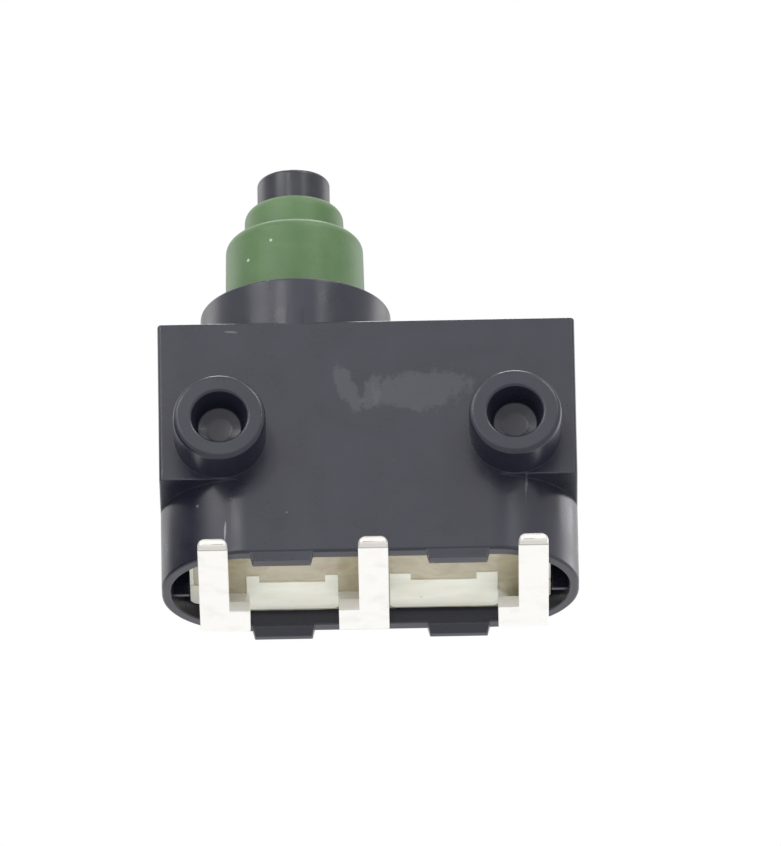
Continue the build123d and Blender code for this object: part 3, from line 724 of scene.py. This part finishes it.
@dataclass(frozen=True)
class TinnedStrip(Finish):
    """Phosphor-bronze strip, tinned before stamping.

    The eye sees a soft white metal with a milky bloom, fine rolling lines along the strip, and greyer
    handling marks.
    """

    rolled: float = 0.035         # rolling lines are finer than this; drawn so that they show
    mark: str = "ebe7dd"
    bronze: str = "8b8174"
    tip_band_at: float = -1.92        # a brownish grey band is painted where the nose begins, and the nose is painted greyer

    def surface(self, tree: bpy.types.NodeTree) -> bpy.types.NodeSocket:
        """Build the milky metal with its rolling lines.

        Args:
            tree: the material's node tree.

        Returns:
            The shader's output.
        """
        place = add_node(tree, "TexCoord").outputs["Object"]
        along = add_node(tree, "Mapping", {"Vector": place, "Scale": (1.0, 0.04, 0.04)})
        lines = add_node(tree, "TexNoise", {
            "Vector": along.outputs[0], "Scale": per_mm(self.rolled), "Detail": 3.0,
        })
        marks = add_node(tree, "TexNoise", {"Vector": place, "Scale": per_mm(0.8), "Detail": 4.0})
        worn = add_node(tree, "MapRange", {
            "Value": marks.outputs[0], "From Min": 0.5, "From Max": 0.75, "To Max": 0.5,
        })
        tint = add_node(tree, "Mix", {
            0: worn.outputs[0], 6: linear(self.colour), 7: linear(self.mark),
        }, data_type="RGBA")
        # A brownish grey band where the nose begins and a greyer nose, both painted in the bronze tint.
        ahead = add_node(tree, "SeparateXYZ", {0: place})
        off = add_node(tree, "Math", {0: ahead.outputs["Y"], 1: self.tip_band_at * MM}, operation="SUBTRACT")
        off = add_node(tree, "Math", {0: off.outputs[0]}, operation="ABSOLUTE")
        tip_band = add_node(tree, "MapRange", {
            "Value": off.outputs[0], "From Min": 0.06 * MM, "From Max": 0.015 * MM, "To Max": 0.7,
        })
        nose = add_node(tree, "MapRange", {
            "Value": ahead.outputs["Y"], "From Min": self.tip_band_at * MM,
            "From Max": (self.tip_band_at - 0.07) * MM, "To Max": 0.42,
        })
        tip_band = add_node(tree, "Math", {0: tip_band.outputs[0], 1: nose.outputs[0]}, operation="MAXIMUM")
        tint = add_node(tree, "Mix", {
            0: tip_band.outputs[0], 6: tint.outputs[2], 7: linear(self.bronze),
        }, data_type="RGBA")
        rough = add_node(tree, "MapRange", {
            "Value": lines.outputs[0], "From Min": 0.3, "From Max": 0.7,
            "To Min": self.roughness - 0.08, "To Max": self.roughness + 0.1,
        })
        bump = add_node(tree, "Bump", {"Height": lines.outputs[0], "Distance": 0.002 * MM, "Strength": 1.0})
        slow = add_node(tree, "Bump", {
            "Height": marks.outputs[0], "Distance": 0.0015 * MM, "Strength": 1.0, "Normal": bump.outputs[0],
        })
        metal = add_node(tree, "BsdfPrincipled", {
            "Base Color": tint.outputs[2], "Metallic": self.metallic, "Roughness": rough.outputs[0],
            "Normal": slow.outputs[0],
        })
        return metal.outputs[0]


CASE = MouldedBlack("moulded_black_pbt", "case_black", "1d1d2b", 0.29)
GUIDE = MouldedBlack("moulded_black_guide", "guide_black", "1e1f29", 0.34)
BUTTON = MouldedBlack("moulded_black_acetal", "plunger_black", "1b1c21", 0.3, mottle=0.7, marks=())
BOOT = MouldedRubber("moulded_silicone_green", "boot_green", "4c6b41", 0.42, ior=1.42)
CREAM = MouldedCream("moulded_cream_pbt", "base_cream", "f6f6ea", 0.45)
RESIN = CuredResin("cured_epoxy", "potting_resin", "bbb39a", 0.18)
TIN = TinnedStrip("tinned_bronze_strip", "tinned_strip", "fdfcf9", 0.5, 0.65)
SILVER = Finish("silver_alloy", "contact_silver", "dcdad4", 0.3, 1.0)
COPPER = Finish("rolled_beryllium_copper", "spring_copper", "c58d5e", 0.3, 1.0)
STEEL = Finish("drawn_spring_wire", "spring_steel", "a4a5a8", 0.28, 1.0)
NATURAL = Finish("natural_acetal", "inner_plastic", "d9d6c8", 0.45)


# --- Housing --------------------------------------------------------------------------------------
@dataclass
class Housing:
    """The black case: square block, rounded skirt, collar, pegs, clip tabs and its hollows."""

    finish: Finish = CASE
    shelf: float = 3.98
    shoulder: float = -1.52
    rim: float = -4.1
    block_round: float = 0.12
    shelf_round: float = 0.1
    skirt_corner: float = 2.8
    end_wall: float = 0.3
    face_wall: float = 0.5
    recess_corner: float = 2.4
    ledge: float = -2.6
    chamber_half: float = 5.8
    chamber_wall: float = 0.6
    chamber_corner: float = 1.6
    chamber_top: float = 3.0
    rim_round: float = 0.1
    mouth: float = 0.03
    axis_x: float = -2.25
    collar_inset: float = 0.0
    collar_round: float = 0.1
    lip: float = 4.69
    bore: float = 2.275
    counterbore: float = 2.62
    peg_x: float = 4.7
    peg_radius: float = 1.475
    peg_round: float = 0.17
    hole_mouth: float = 0.885
    hole_floor: float = 0.72
    hole_depth: float = 0.95
    hole_round: float = 0.11
    floor_dish: float = 0.13
    tab_x: float = 2.8
    tab_half: float = 1.02
    tab_taper: float = 0.9
    lead_in: float = 0.24
    tab_setback: float = 0.04
    rib_y: float = 3.62
    rib_half: float = 0.07
    rib_low: float = -3.9
    rib_start: float = 5.78
    overlap: float = 0.4
    low: Vector = field(init=False)
    high: Vector = field(init=False)

    @property
    def middle(self) -> float:
        """Half way through the case."""
        return self.high.y / 2

    def build(self) -> None:
        """Build the case and put it in the frame."""
        self.low, self.high = box_mm("housing")
        case = self.square_block()
        combine(case, self.skirt(), Join.ADD)
        combine(case, self.collar(), Join.ADD)
        peg = self.peg()
        combine(case, twin(peg, "right_peg", (2 * self.peg_x, 0, 0)), Join.ADD)
        combine(case, peg, Join.ADD)
        combine(case, self.recess(), Join.CUT)
        combine(case, self.chamber(), Join.CUT)
        combine(case, self.stepped_bore(), Join.CUT)
        for tab in self.tabs():
            combine(case, tab, Join.ADD)
        for rib in self.ribs():
            combine(case, rib, Join.ADD)
        with picked(case, Pick.POINTS, everything):
            bpy.ops.mesh.remove_doubles(threshold=1e-4)
            bpy.ops.mesh.dissolve_limited(angle_limit=math.radians(0.3))
        case.name = "case_shell"
        settle(case, self.finish, "case", "housing")

    def square_block(self) -> bpy.types.Object:
        """Shape the square upper block.

        Returns:
            The block with its rounded edges.
        """
        piece = block("square_block", (self.low.x, 0, self.shoulder), (self.high.x, self.high.y, self.shelf))
        rounded(piece, self.block_round, 4, lambda _mid, way: abs(way.z) > 0.9)
        rounded(piece, self.shelf_round, 3, lambda mid, _way: mid.z > self.shelf - 1e-3)
        rounded(piece, self.shelf_round / 2, 2, lambda mid, _way: mid.z < self.shoulder + 1e-3)
        return piece

    def skirt(self) -> bpy.types.Object:
        """Shape the skirt, with its long round corners, up into the block.

        Returns:
            The skirt.
        """
        piece = block("skirt", (self.low.x, 0, self.rim),
                      (self.high.x, self.high.y, self.shoulder + self.overlap))
        rounded(piece, self.skirt_corner, 24, lambda _mid, way: abs(way.z) > 0.9)
        rounded(piece, self.rim_round, 3, lambda mid, _way: mid.z < self.rim + 1e-3)
        return piece

    def collar(self) -> bpy.types.Object:
        """Turn the collar.

        Returns:
            The solid collar, before its bore.
        """
        radius = self.middle - self.collar_inset
        profile = eased([
            (0, self.chamber_top + self.overlap, 0), (radius, self.chamber_top + self.overlap, 0),
            (radius, self.high.z, self.collar_round), (0, self.high.z, 0),
        ])
        return turned("collar", profile, (self.axis_x, self.middle, 0), steps=128)

    def peg(self) -> bpy.types.Object:
        """Turn the left peg with its coring hole and dished floor.

        Returns:
            The peg, rooted in the block.
        """
        tip = self.low.y
        floor = tip + self.hole_depth
        profile = eased([
            (0, self.overlap, 0), (self.peg_radius, self.overlap, 0),
            (self.peg_radius, tip, self.peg_round), (self.hole_mouth, tip, self.hole_round),
            (self.hole_floor, floor, 0.1), (self.hole_floor * 0.55, floor + self.floor_dish * 0.75, 0.35),
            (0, floor + self.floor_dish, 0),
        ], steps=5)
        return turned("left_peg", profile, (-self.peg_x, 0, 0), along="Y")

    def recess(self) -> bpy.types.Object:
        """Shape the potting recess, with a flared mouth.

        Returns:
            The cutter.
        """
        half = Vector((self.high.x - self.end_wall, self.middle - self.face_wall))
        piece = block("recess", (-half.x, self.face_wall, self.rim + self.mouth),
                      (half.x, self.high.y - self.face_wall, self.ledge))
        rounded(piece, self.recess_corner, 20, lambda _mid, way: abs(way.z) > 0.9)
        grow = 2 * self.mouth
        with picked(piece, Pick.FACES, lambda _mid, way: way.z < -0.9):
            bpy.ops.mesh.extrude_region_move(TRANSFORM_OT_translate={"value": (0, 0, -grow)})
            bpy.ops.transform.resize(
                value=(1 + grow / half.x, 1 + grow / half.y, 1), center_override=(0, self.middle, 0),
            )
        return piece

    def chamber(self) -> bpy.types.Object:
        """Shape the contact chamber.

        Returns:
            The cutter.
        """
        piece = block("chamber", (-self.chamber_half, self.chamber_wall, self.ledge - self.overlap),
                      (self.chamber_half, self.high.y - self.chamber_wall, self.chamber_top))
        rounded(piece, self.chamber_corner, 12, lambda _mid, way: abs(way.z) > 0.9)
        return piece

    def stepped_bore(self) -> bpy.types.Object:
        """Turn the bore for the guide, the boot's foot and the boot.

        Returns:
            The cutter.
        """
        ease = 0.05
        profile = [
            (0, self.chamber_top - self.overlap), (self.counterbore, self.chamber_top - self.overlap),
            (self.counterbore, self.lip), (self.bore, self.lip), (self.bore, self.high.z - ease),
            (self.bore + ease, self.high.z), (self.bore + ease, self.high.z + self.overlap),
            (0, self.high.z + self.overlap),
        ]
        return turned("stepped_bore", profile, (self.axis_x, self.middle, 0), steps=96)

    def tabs(self) -> list[bpy.types.Object]:
        """Shape the clip tabs: one for the front and one for the back, each copied once.

        Returns:
            The four tabs.
        """
        made = []
        for name, near in (("front_tab", 0.0), ("back_tab", self.high.y - self.face_wall)):
            setback = 0.0 if near else self.tab_setback
            tab = block(name, (-self.tab_x - self.tab_half, near + setback, self.low.z),
                        (-self.tab_x + self.tab_half, near + self.face_wall, self.rim + self.rim_round))
            with picked(tab, Pick.FACES, lambda _mid, way: way.z < -0.9):
                bpy.ops.transform.resize(
                    value=(self.tab_taper, 1, 1), center_override=(-self.tab_x, 0, 0),
                )
            if near:
                rounded(tab, self.lead_in, 1, lambda mid, way: abs(way.x) > 0.9
                        and mid.z < self.rim and mid.y < near + 1e-3)
            rounded(tab, 0.035, 2, lambda mid, _way: mid.z < self.low.z + 1e-3)
            made += [tab, twin(tab, name + "_right", (2 * self.tab_x, 0, 0))]
        return made

    def ribs(self) -> list[bpy.types.Object]:
        """Shape the thin ribs that part the end pockets.

        Returns:
            The two ribs.
        """
        reach = self.high.x - self.end_wall / 2
        rib = block("left_rib", (-reach, self.rib_y - self.rib_half, self.rib_low),
                    (-self.rib_start, self.rib_y + self.rib_half, self.ledge + self.overlap / 2))
        return [rib, twin(rib, "right_rib", (reach + self.rib_start, 0, 0))]


# --- Boot and plunger -----------------------------------------------------------------------------
@dataclass
class Boot:
    """The green two-tier rubber boot, between the case and the plunger."""

    finish: Finish = BOOT
    axis_x: float = -2.25
    foot_radius: float = 2.55
    lip: float = 4.69
    lower: float = 2.24
    lower_top: float = 2.2
    upper: float = 1.61
    upper_top: float = 1.57
    wall: float = 0.35
    step: float = 8.16
    step_fall: float = 0.03
    lower_round: float = 0.38
    upper_round: float = 0.42
    mouth: float = 0.985
    stem: float = 1.2
    bend_from: float = 5.7
    bend_to: float = 8.1

    def build(self) -> None:
        """Turn the boot."""
        low, high = box_mm("boot")
        middle = (low.y + high.y) / 2
        inner = self.lower - self.wall
        under = self.step - self.wall
        profile = eased([
            (inner, low.z, 0), (self.foot_radius, low.z, 0), (self.foot_radius, self.lip, 0),
            (self.lower + 0.02, self.lip, 0), (self.lower + 0.02, self.lip + 0.95, 0.04),
            (self.lower, self.lip + 1.05, 0.04), (self.lower_top, self.step, self.lower_round),
            (self.upper, self.step + self.step_fall, 0.05), (self.upper_top, high.z, self.upper_round),
            (self.mouth + 0.02, high.z, 0.05), (self.mouth, high.z - self.wall, 0),
            (self.stem, high.z - self.wall, 0), (self.stem, under, 0.1), (inner, under, 0.2),
        ], steps=7)
        line = []
        for (r, z), (r2, z2) in zip(profile, profile[1:] + profile[:1]):
            parts = max(1, round(math.hypot(r2 - r, z2 - z) / 0.3))
            line += [(r + (r2 - r) * k / parts, z + (z2 - z) * k / parts) for k in range(parts)]
        boot = turned("rubber_boot", line, (self.axis_x, middle, 0), steps=96)
        settle(boot, self.finish, "case", "boot", smooth=50)
        boot.parent = None
        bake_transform(boot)


@dataclass
class Plunger:
    """The black plunger, with its flange, boot groove, blind bore and soft-edged head."""

    finish: Finish = BUTTON
    axis_x: float = -2.25
    radius: float = 1.165
    head_round: float = 0.16
    bore: float = 0.75
    bore_top: float = 6.6
    flange: float = 1.7
    flange_z: float = 7.15
    flange_thickness: float = 0.3
    groove: float = 0.2
    groove_low: float = 8.96
    groove_high: float = 9.35
    dimple: float = 0.04

    def build(self) -> None:
        """Turn the plunger."""
        low, high = box_mm("plunger")
        middle = (low.y + high.y) / 2
        over = self.flange_z + self.flange_thickness
        profile = eased([
            (self.bore, low.z, 0), (self.radius, low.z, 0.05), (self.radius, self.flange_z, 0),
            (self.flange, self.flange_z, 0.05), (self.flange, over, 0.05), (self.radius, over, 0),
            (self.radius, self.groove_low, 0.03), (self.radius - self.groove, self.groove_low, 0),
            (self.radius - self.groove, self.groove_high, 0), (self.radius, self.groove_high, 0.03),
            (self.radius, high.z, self.head_round), (0.55, high.z, 0.1), (0.45, high.z - self.dimple, 0.1),
            (0, high.z - self.dimple, 0), (0, self.bore_top, 0), (self.bore, self.bore_top, 0.05),
        ], steps=5)
        head = turned("plunger_stem", profile, (self.axis_x, middle, 0), steps=96)
        settle(head, self.finish, "plunger_body", "plunger")


# --- Base and resin -------------------------------------------------------------------------------
@dataclass
class Base:
    """The cream base with its lands and posts, all edges broken by the mould."""

    finish: Finish = CREAM
    edge: float = 0.06
    land_low: float = -3.45
    land_reach: float = 0.12

    def build(self) -> None:
        """Shape the base from the frame's solid, its lands drawn out to the case's back wall."""
        piece = from_frame("base", "cream_base")
        back = box_mm("base")[1].y
        with picked(piece, Pick.POINTS, lambda at: at.z < self.land_low and at.y > back - 1e-2):
            bpy.ops.transform.translate(value=(0, self.land_reach, 0))
        soften(piece, self.edge, 3)
        settle(piece, self.finish, "case", "base")


@dataclass
class Resin:
    """The poured resin: a wavy sheet that climbs the front wall and heaps up by the right leg."""

    finish: Finish = RESIN
    half_length: float = 5.62
    front: float = 0.48
    level: float = -3.57
    wall_climb: float = 0.45
    wall_run: float = 0.95
    edge_climb: float = 0.0
    edge_run: float = 0.25
    mounds: tuple[tuple[float, float, float, float], ...] = (  # x, y, rise, run
        (4.68, 4.12, 0.95, 0.6),
    )
    wave: float = 0.04
    wave_size: float = 0.9
    recess_half: float = 6.36
    recess_corner: float = 2.4
    legs: tuple[tuple[float, float], ...] = ((-5.35, -3.845), (-1.015, 0.585), (4.065, 5.35))
    leg_y: tuple[float, float] = (4.25, 4.65)
    steps: tuple[int, int] = (180, 84)

    def build(self) -> None:
        """Shape the sheet, thicken it and trim it to the recess."""
        low, high = box_mm("epoxy_seal")
        back = high.y + 0.01
        sheet = self.grid(back)
        self.climb(sheet, lambda at: at.y < self.front + 0.03, self.wall_climb, self.wall_run)
        for left, right in self.legs:
            self.climb(sheet, lambda at, a=left, b=right: a - 0.04 < at.x < b + 0.04
                       and self.leg_y[0] - 0.06 < at.y < self.leg_y[1] + 0.04, self.edge_climb, self.edge_run)
        for x, y, rise, run in self.mounds:
            self.climb(sheet, lambda at, a=x, b=y: math.hypot(at.x - a, at.y - b) < 0.08, rise, run)
        take(sheet)
        waves = bpy.data.textures.new("resin_waves", "CLOUDS")
        waves.noise_scale = self.wave_size
        bpy.ops.object.modifier_add(type="DISPLACE")
        change = sheet.modifiers[-1]
        change.texture = waves
        change.texture_coords = "LOCAL"
        change.direction = "Z"
        change.strength = self.wave
        change.mid_level = 0.4
        bpy.ops.object.modifier_apply(modifier=change.name)
        bpy.ops.object.modifier_add(type="SOLIDIFY")
        change = sheet.modifiers[-1]
        change.thickness = 0.44
        change.offset = -1
        bpy.ops.object.modifier_apply(modifier=change.name)
        trim = block("resin_trim", (-self.recess_half, self.front - 0.01, -5),
                     (self.recess_half, back + 0.02, -2))
        rounded(trim, self.recess_corner, 16, lambda _mid, way: abs(way.z) > 0.9)
        combine(sheet, trim, Join.KEEP_SHARED)
        sheet.name = "poured_resin"
        settle(sheet, self.finish, "case", "epoxy_seal", smooth=60)

    def grid(self, back: float) -> bpy.types.Object:
        """Lay the fine flat sheet, facing down.

        Args:
            back: where it ends at the back wall.

        Returns:
            The sheet.
        """
        bpy.ops.object.select_all(action="DESELECT")
        bpy.ops.mesh.primitive_grid_add(
            x_subdivisions=self.steps[0], y_subdivisions=self.steps[1], size=2,
            location=(0, (self.front + back) / 2, self.level),
        )
        sheet = bpy.context.active_object
        sheet.name = "resin_sheet"
        sheet.scale = (self.half_length, (back - self.front) / 2, 1)
        bpy.ops.object.transform_apply(location=True, rotation=True, scale=True)
        with picked(sheet, Pick.FACES, everything):
            bpy.ops.mesh.flip_normals()
        return sheet

    def climb(self, sheet: bpy.types.Object, test: Callable[[Vector], bool], rise: float, run: float) -> None:
        """Draw the skin up a wall in a concave curve.

        Args:
            sheet: the sheet.
            test: picks the points at the wall.
            rise: how far it climbs.
            run: how far from the wall the curve starts.
        """
        with picked(sheet, Pick.POINTS, test):
            bpy.ops.transform.translate(
                value=(0, 0, -rise), use_proportional_edit=True, proportional_edit_falloff="SHARP",
                proportional_size=run,
            )


# --- Terminals ------------------------------------------------------------------------------------
@dataclass
class Terminals:
    """The three tinned strips, with coined tips and the soft edges that stamping and tinning leave."""

    finish: Finish = TIN
    edge: float = 0.04
    foot_front: float = 3.45
    foot_reach: float = 0.65
    tip_length: float = 0.42
    tip_crown: float = 0.24
    tip_round: float = 0.16
    nodes: tuple[str, ...] = ("nc_terminal", "no_terminal", "com_terminal")

    def build(self) -> None:
        """Shape each strip from the frame's solid."""
        for node in self.nodes:
            strip = from_frame(node, "tinned_" + node)
            with picked(strip, Pick.FACES, lambda mid, way: way.y < -0.9
                        and abs(mid.y - self.foot_front) < 0.05 and mid.z < -4.4):
                bpy.ops.transform.translate(value=(0, -self.foot_reach, 0))
            self.coin_tip(strip)
            soften(strip, self.edge, 2, sharper_than=60)
            settle(strip, self.finish, "case", node)

    def coin_tip(self, strip: bpy.types.Object) -> None:
        """Cut the strip's end off square and draw it out again with a crowned back and a rounded nose.

        Args:
            strip: the strip.
        """
        tip = min(point.co.y for point in strip.data.vertices)
        cut = tip + self.tip_length
        with picked(strip, Pick.POINTS, everything):
            bpy.ops.mesh.bisect(plane_co=(0, cut, 0), plane_no=(0, -1, 0), use_fill=True, clear_outer=True)
        with picked(strip, Pick.FACES, lambda mid, way: way.y < -0.9 and mid.y < cut + 1e-3):
            bpy.ops.mesh.extrude_region_move(TRANSFORM_OT_translate={"value": (0, -self.tip_length, 0)})
        top = max(point.co.z for point in strip.data.vertices if point.co.y < cut)
        rounded(strip, self.tip_crown, 6, lambda mid, way: abs(way.y) > 0.9 and mid.y < cut
                and mid.z > top - 1e-3)
        rounded(strip, self.tip_round, 4, lambda mid, _way: mid.y < tip + 1e-3)


# --- Inner works ----------------------------------------------------------------------------------
@dataclass
class InnerWorks:
    """The parts inside the case, which keep the frame's shapes and get their finishes."""

    finish_of: dict[str, Finish] = field(default_factory=lambda: {
        "plunger_guide": GUIDE, "push_pin": NATURAL,
        "stop_cup": NATURAL, "contact_arm": COPPER, "snap_spring": COPPER, "moving_contact": SILVER,
        "nc_contact": SILVER, "no_contact": SILVER,
    })

    def build(self) -> None:
        """Give each part its finish."""
        for node, finish in self.finish_of.items():
            part = frame["nodes"][node]
            part.data.materials.clear()
            part.data.materials.append(finish.material())
            log.info("%s: %s", node, finish.name)


@dataclass(frozen=True)
class CoilSpring:
    """A coil spring, copied from the frame, which rides on its body."""

    node: str
    body: str
    seat_low: bool       # whether its lower end is the one that stays on its body
    share: float = 1.0   # share of the plunger's travel that it gives way by

    def build(self) -> None:
        """Copy the frame's coil and smooth its wire."""
        coil = from_frame(self.node, f"{self.node}_coil")
        settle(coil, STEEL, self.body, self.node, smooth=75)
        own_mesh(coil)


def pin_share() -> float:
    """Share of the plunger's travel that the push pin makes, from the record."""
    return next(
        coupling["ratio"] for coupling in frame["record"]["behaviour"]["couplings"]
        if coupling["joint"] == "push_pin_slide"
    )


# --- Studio ---------------------------------------------------------------------------------------
@dataclass(frozen=True)
class Lamp:
    """A square soft box: its place as angles about the object, its power and its size."""

    name: str
    azimuth: float       # degrees from the front, to the right
    elevation: float     # degrees above the level
    power: float         # watts
    side: float          # millimetres


@dataclass
class Studio:
    """Pale floor, light tent, soft boxes and the camera."""

    aim: tuple[float, float, float] = (0.735 * MM, 3.05 * MM, 1.779 * MM)
    distance: float = 600 * MM
    view_height: float = 27.07 * MM
    azimuth: float = 0.0
    elevation: float = -25.2
    roll: float = 1.05
    sensor: float = 36.0
    ambient_low: float = 1.0
    ambient_high: float = 0.72
    floor_gap: float = 0.02 * MM
    reach: float = 230 * MM
    flag_size: float = 18 * MM
    flag_place: tuple[float, float, float] = (-18 * MM, 4 * MM, -4 * MM)
    lamps: tuple["Lamp", ...] = (
        Lamp("front_panel", -10, 26, 0.075, 200), Lamp("key_left", -45, 36, 0.11, 80),
        Lamp("key_right", 40, 46, 0.12, 60), Lamp("glint_left", -17, 25, 0.03, 24),
        Lamp("glint_right", 31, 25, 0.018, 18), Lamp("rim_left", -122, 24, 0.05, 120),
        Lamp("rim_right", 122, 12, 0.12, 130), Lamp("top_back", 180, 66, 0.16, 80),
    )

    def build(self) -> None:
        """Build the floor, the light and the camera."""
        self.add_floor()
        self.light_tent()
        for lamp in self.lamps:
            self.soft_box(lamp)
        self.add_flag()
        self.add_camera()

    def add_floor(self) -> None:
        """Add the pale floor that the terminals stand on; it is clear when seen from beneath."""
        low = CAD_BOX[0].z - self.floor_gap
        bpy.ops.object.select_all(action="DESELECT")
        bpy.ops.mesh.primitive_plane_add(size=0.6, location=(0, 0, low))
        floor = bpy.context.active_object
        floor.name = "studio_floor"
        material = bpy.data.materials.new("pale_floor")
        material.use_nodes = True
        tree = material.node_tree
        tree.nodes.clear()
        paint = add_node(tree, "BsdfDiffuse", {"Color": linear("f4f4f2")})
        clear = add_node(tree, "BsdfTransparent")
        side = add_node(tree, "NewGeometry")
        mix = add_node(tree, "MixShader", {
            0: side.outputs["Backfacing"], 1: paint.outputs[0], 2: clear.outputs[0],
        })
        add_node(tree, "OutputMaterial", {"Surface": mix.outputs[0]})
        floor.data.materials.append(material)
        floor.visible_shadow = floor.visible_diffuse = floor.visible_glossy = False

    def add_flag(self) -> None:
        """Add the dark flag that gives the left corner of the skirt its dark reflection."""
        bpy.ops.object.select_all(action="DESELECT")
        bpy.ops.mesh.primitive_plane_add(
            size=self.flag_size, location=self.flag_place, rotation=(0, math.radians(90), 0),
        )
        flag = bpy.context.active_object
        flag.name = "dark_flag"
        material = bpy.data.materials.new("black_felt")
        material.use_nodes = True
        tree = material.node_tree
        tree.nodes.clear()
        felt = add_node(tree, "BsdfDiffuse", {"Color": linear("4c4c50")})
        add_node(tree, "OutputMaterial", {"Surface": felt.outputs[0]})
        flag.data.materials.append(material)
        flag.visible_camera = flag.visible_shadow = flag.visible_diffuse = False

    def light_tent(self) -> None:
        """Light the object evenly from all round, with a white tent for the eye and for reflections."""
        world = bpy.data.worlds.new("light_tent")
        bpy.context.scene.world = world
        world.use_nodes = True
        tree = world.node_tree
        tree.nodes.clear()
        path = add_node(tree, "LightPath")
        seen = add_node(tree, "Math", {
            0: path.outputs["Is Camera Ray"], 1: path.outputs["Is Glossy Ray"],
        }, operation="MAXIMUM")
        seen = add_node(tree, "Math", {
            0: seen.outputs[0], 1: path.outputs["Is Transmission Ray"],
        }, operation="MAXIMUM")
        way = add_node(tree, "SeparateXYZ", {0: add_node(tree, "TexCoord").outputs["Generated"]})
        level = add_node(tree, "MapRange", {
            "Value": way.outputs["Z"], "From Min": -0.6, "From Max": 0.3,
            "To Min": self.ambient_low, "To Max": self.ambient_high,
        })
        soft = add_node(tree, "Background", {"Color": (1, 1, 1, 1), "Strength": level.outputs[0]})
        white = add_node(tree, "Background", {"Color": (1, 1, 1, 1), "Strength": 1.0})
        mix = add_node(tree, "MixShader", {0: seen.outputs[0], 1: soft.outputs[0], 2: white.outputs[0]})
        add_node(tree, "OutputWorld", {"Surface": mix.outputs[0]})

    def soft_box(self, lamp: Lamp) -> None:
        """Add a square soft box that faces the object.

        Args:
            lamp: its place, power and size.
        """
        light = bpy.data.lights.new(lamp.name, "AREA")
        light.size = lamp.side * MM
        light.energy = lamp.power
        box = bpy.data.objects.new(lamp.name, light)
        bpy.context.scene.collection.objects.link(box)
        way = self.direction(lamp.azimuth, lamp.elevation)
        box.location = Vector(self.aim) + way * self.reach
        box.rotation_mode = "QUATERNION"
        box.rotation_quaternion = (-way).to_track_quat("-Z", "Y")

    @staticmethod
    def direction(azimuth: float, elevation: float) -> Vector:
        """Give the way from the object to a place about it.

        Args:
            azimuth: degrees from the front, to the right.
            elevation: degrees above the level.

        Returns:
            The unit vector.
        """
        turn, rise = math.radians(azimuth), math.radians(elevation)
        return Vector((math.sin(turn) * math.cos(rise), -math.cos(turn) * math.cos(rise), math.sin(rise)))

    def add_camera(self) -> None:
        """Add the camera, with a long lens, at the angle that the switch is seen from."""
        camera = bpy.data.cameras.new("camera")
        camera.sensor_width = self.sensor
        camera.lens = self.sensor * self.distance / self.view_height
        camera.clip_start = 10 * MM
        camera.clip_end = 10
        body = bpy.data.objects.new("camera", camera)
        bpy.context.scene.collection.objects.link(body)
        back = self.direction(self.azimuth, self.elevation)
        body.location = Vector(self.aim) + back * self.distance
        body.rotation_mode = "QUATERNION"
        level = (-back).to_track_quat("-Z", "Y")
        body.rotation_quaternion = level @ Quaternion((0, 0, 1), math.radians(-self.roll))
        bpy.context.scene.camera = body


def main() -> None:
    """Build everything in order."""
    logging.basicConfig(level=logging.INFO)
    bpy.context.scene.view_settings.view_transform = "Standard"
    springs = (
        CoilSpring("return_spring", "case", seat_low=True),
        CoilSpring("override_spring", "plunger_body", seat_low=False, share=1 - pin_share()),
    )
    for assembly in (Housing(), Boot(), Plunger(), Base(), Resin(), Terminals(), InnerWorks(), *springs, Studio()):
        assembly.build()
        log.info("%s done", type(assembly).__name__)


if __name__ == "__main__":
    main()
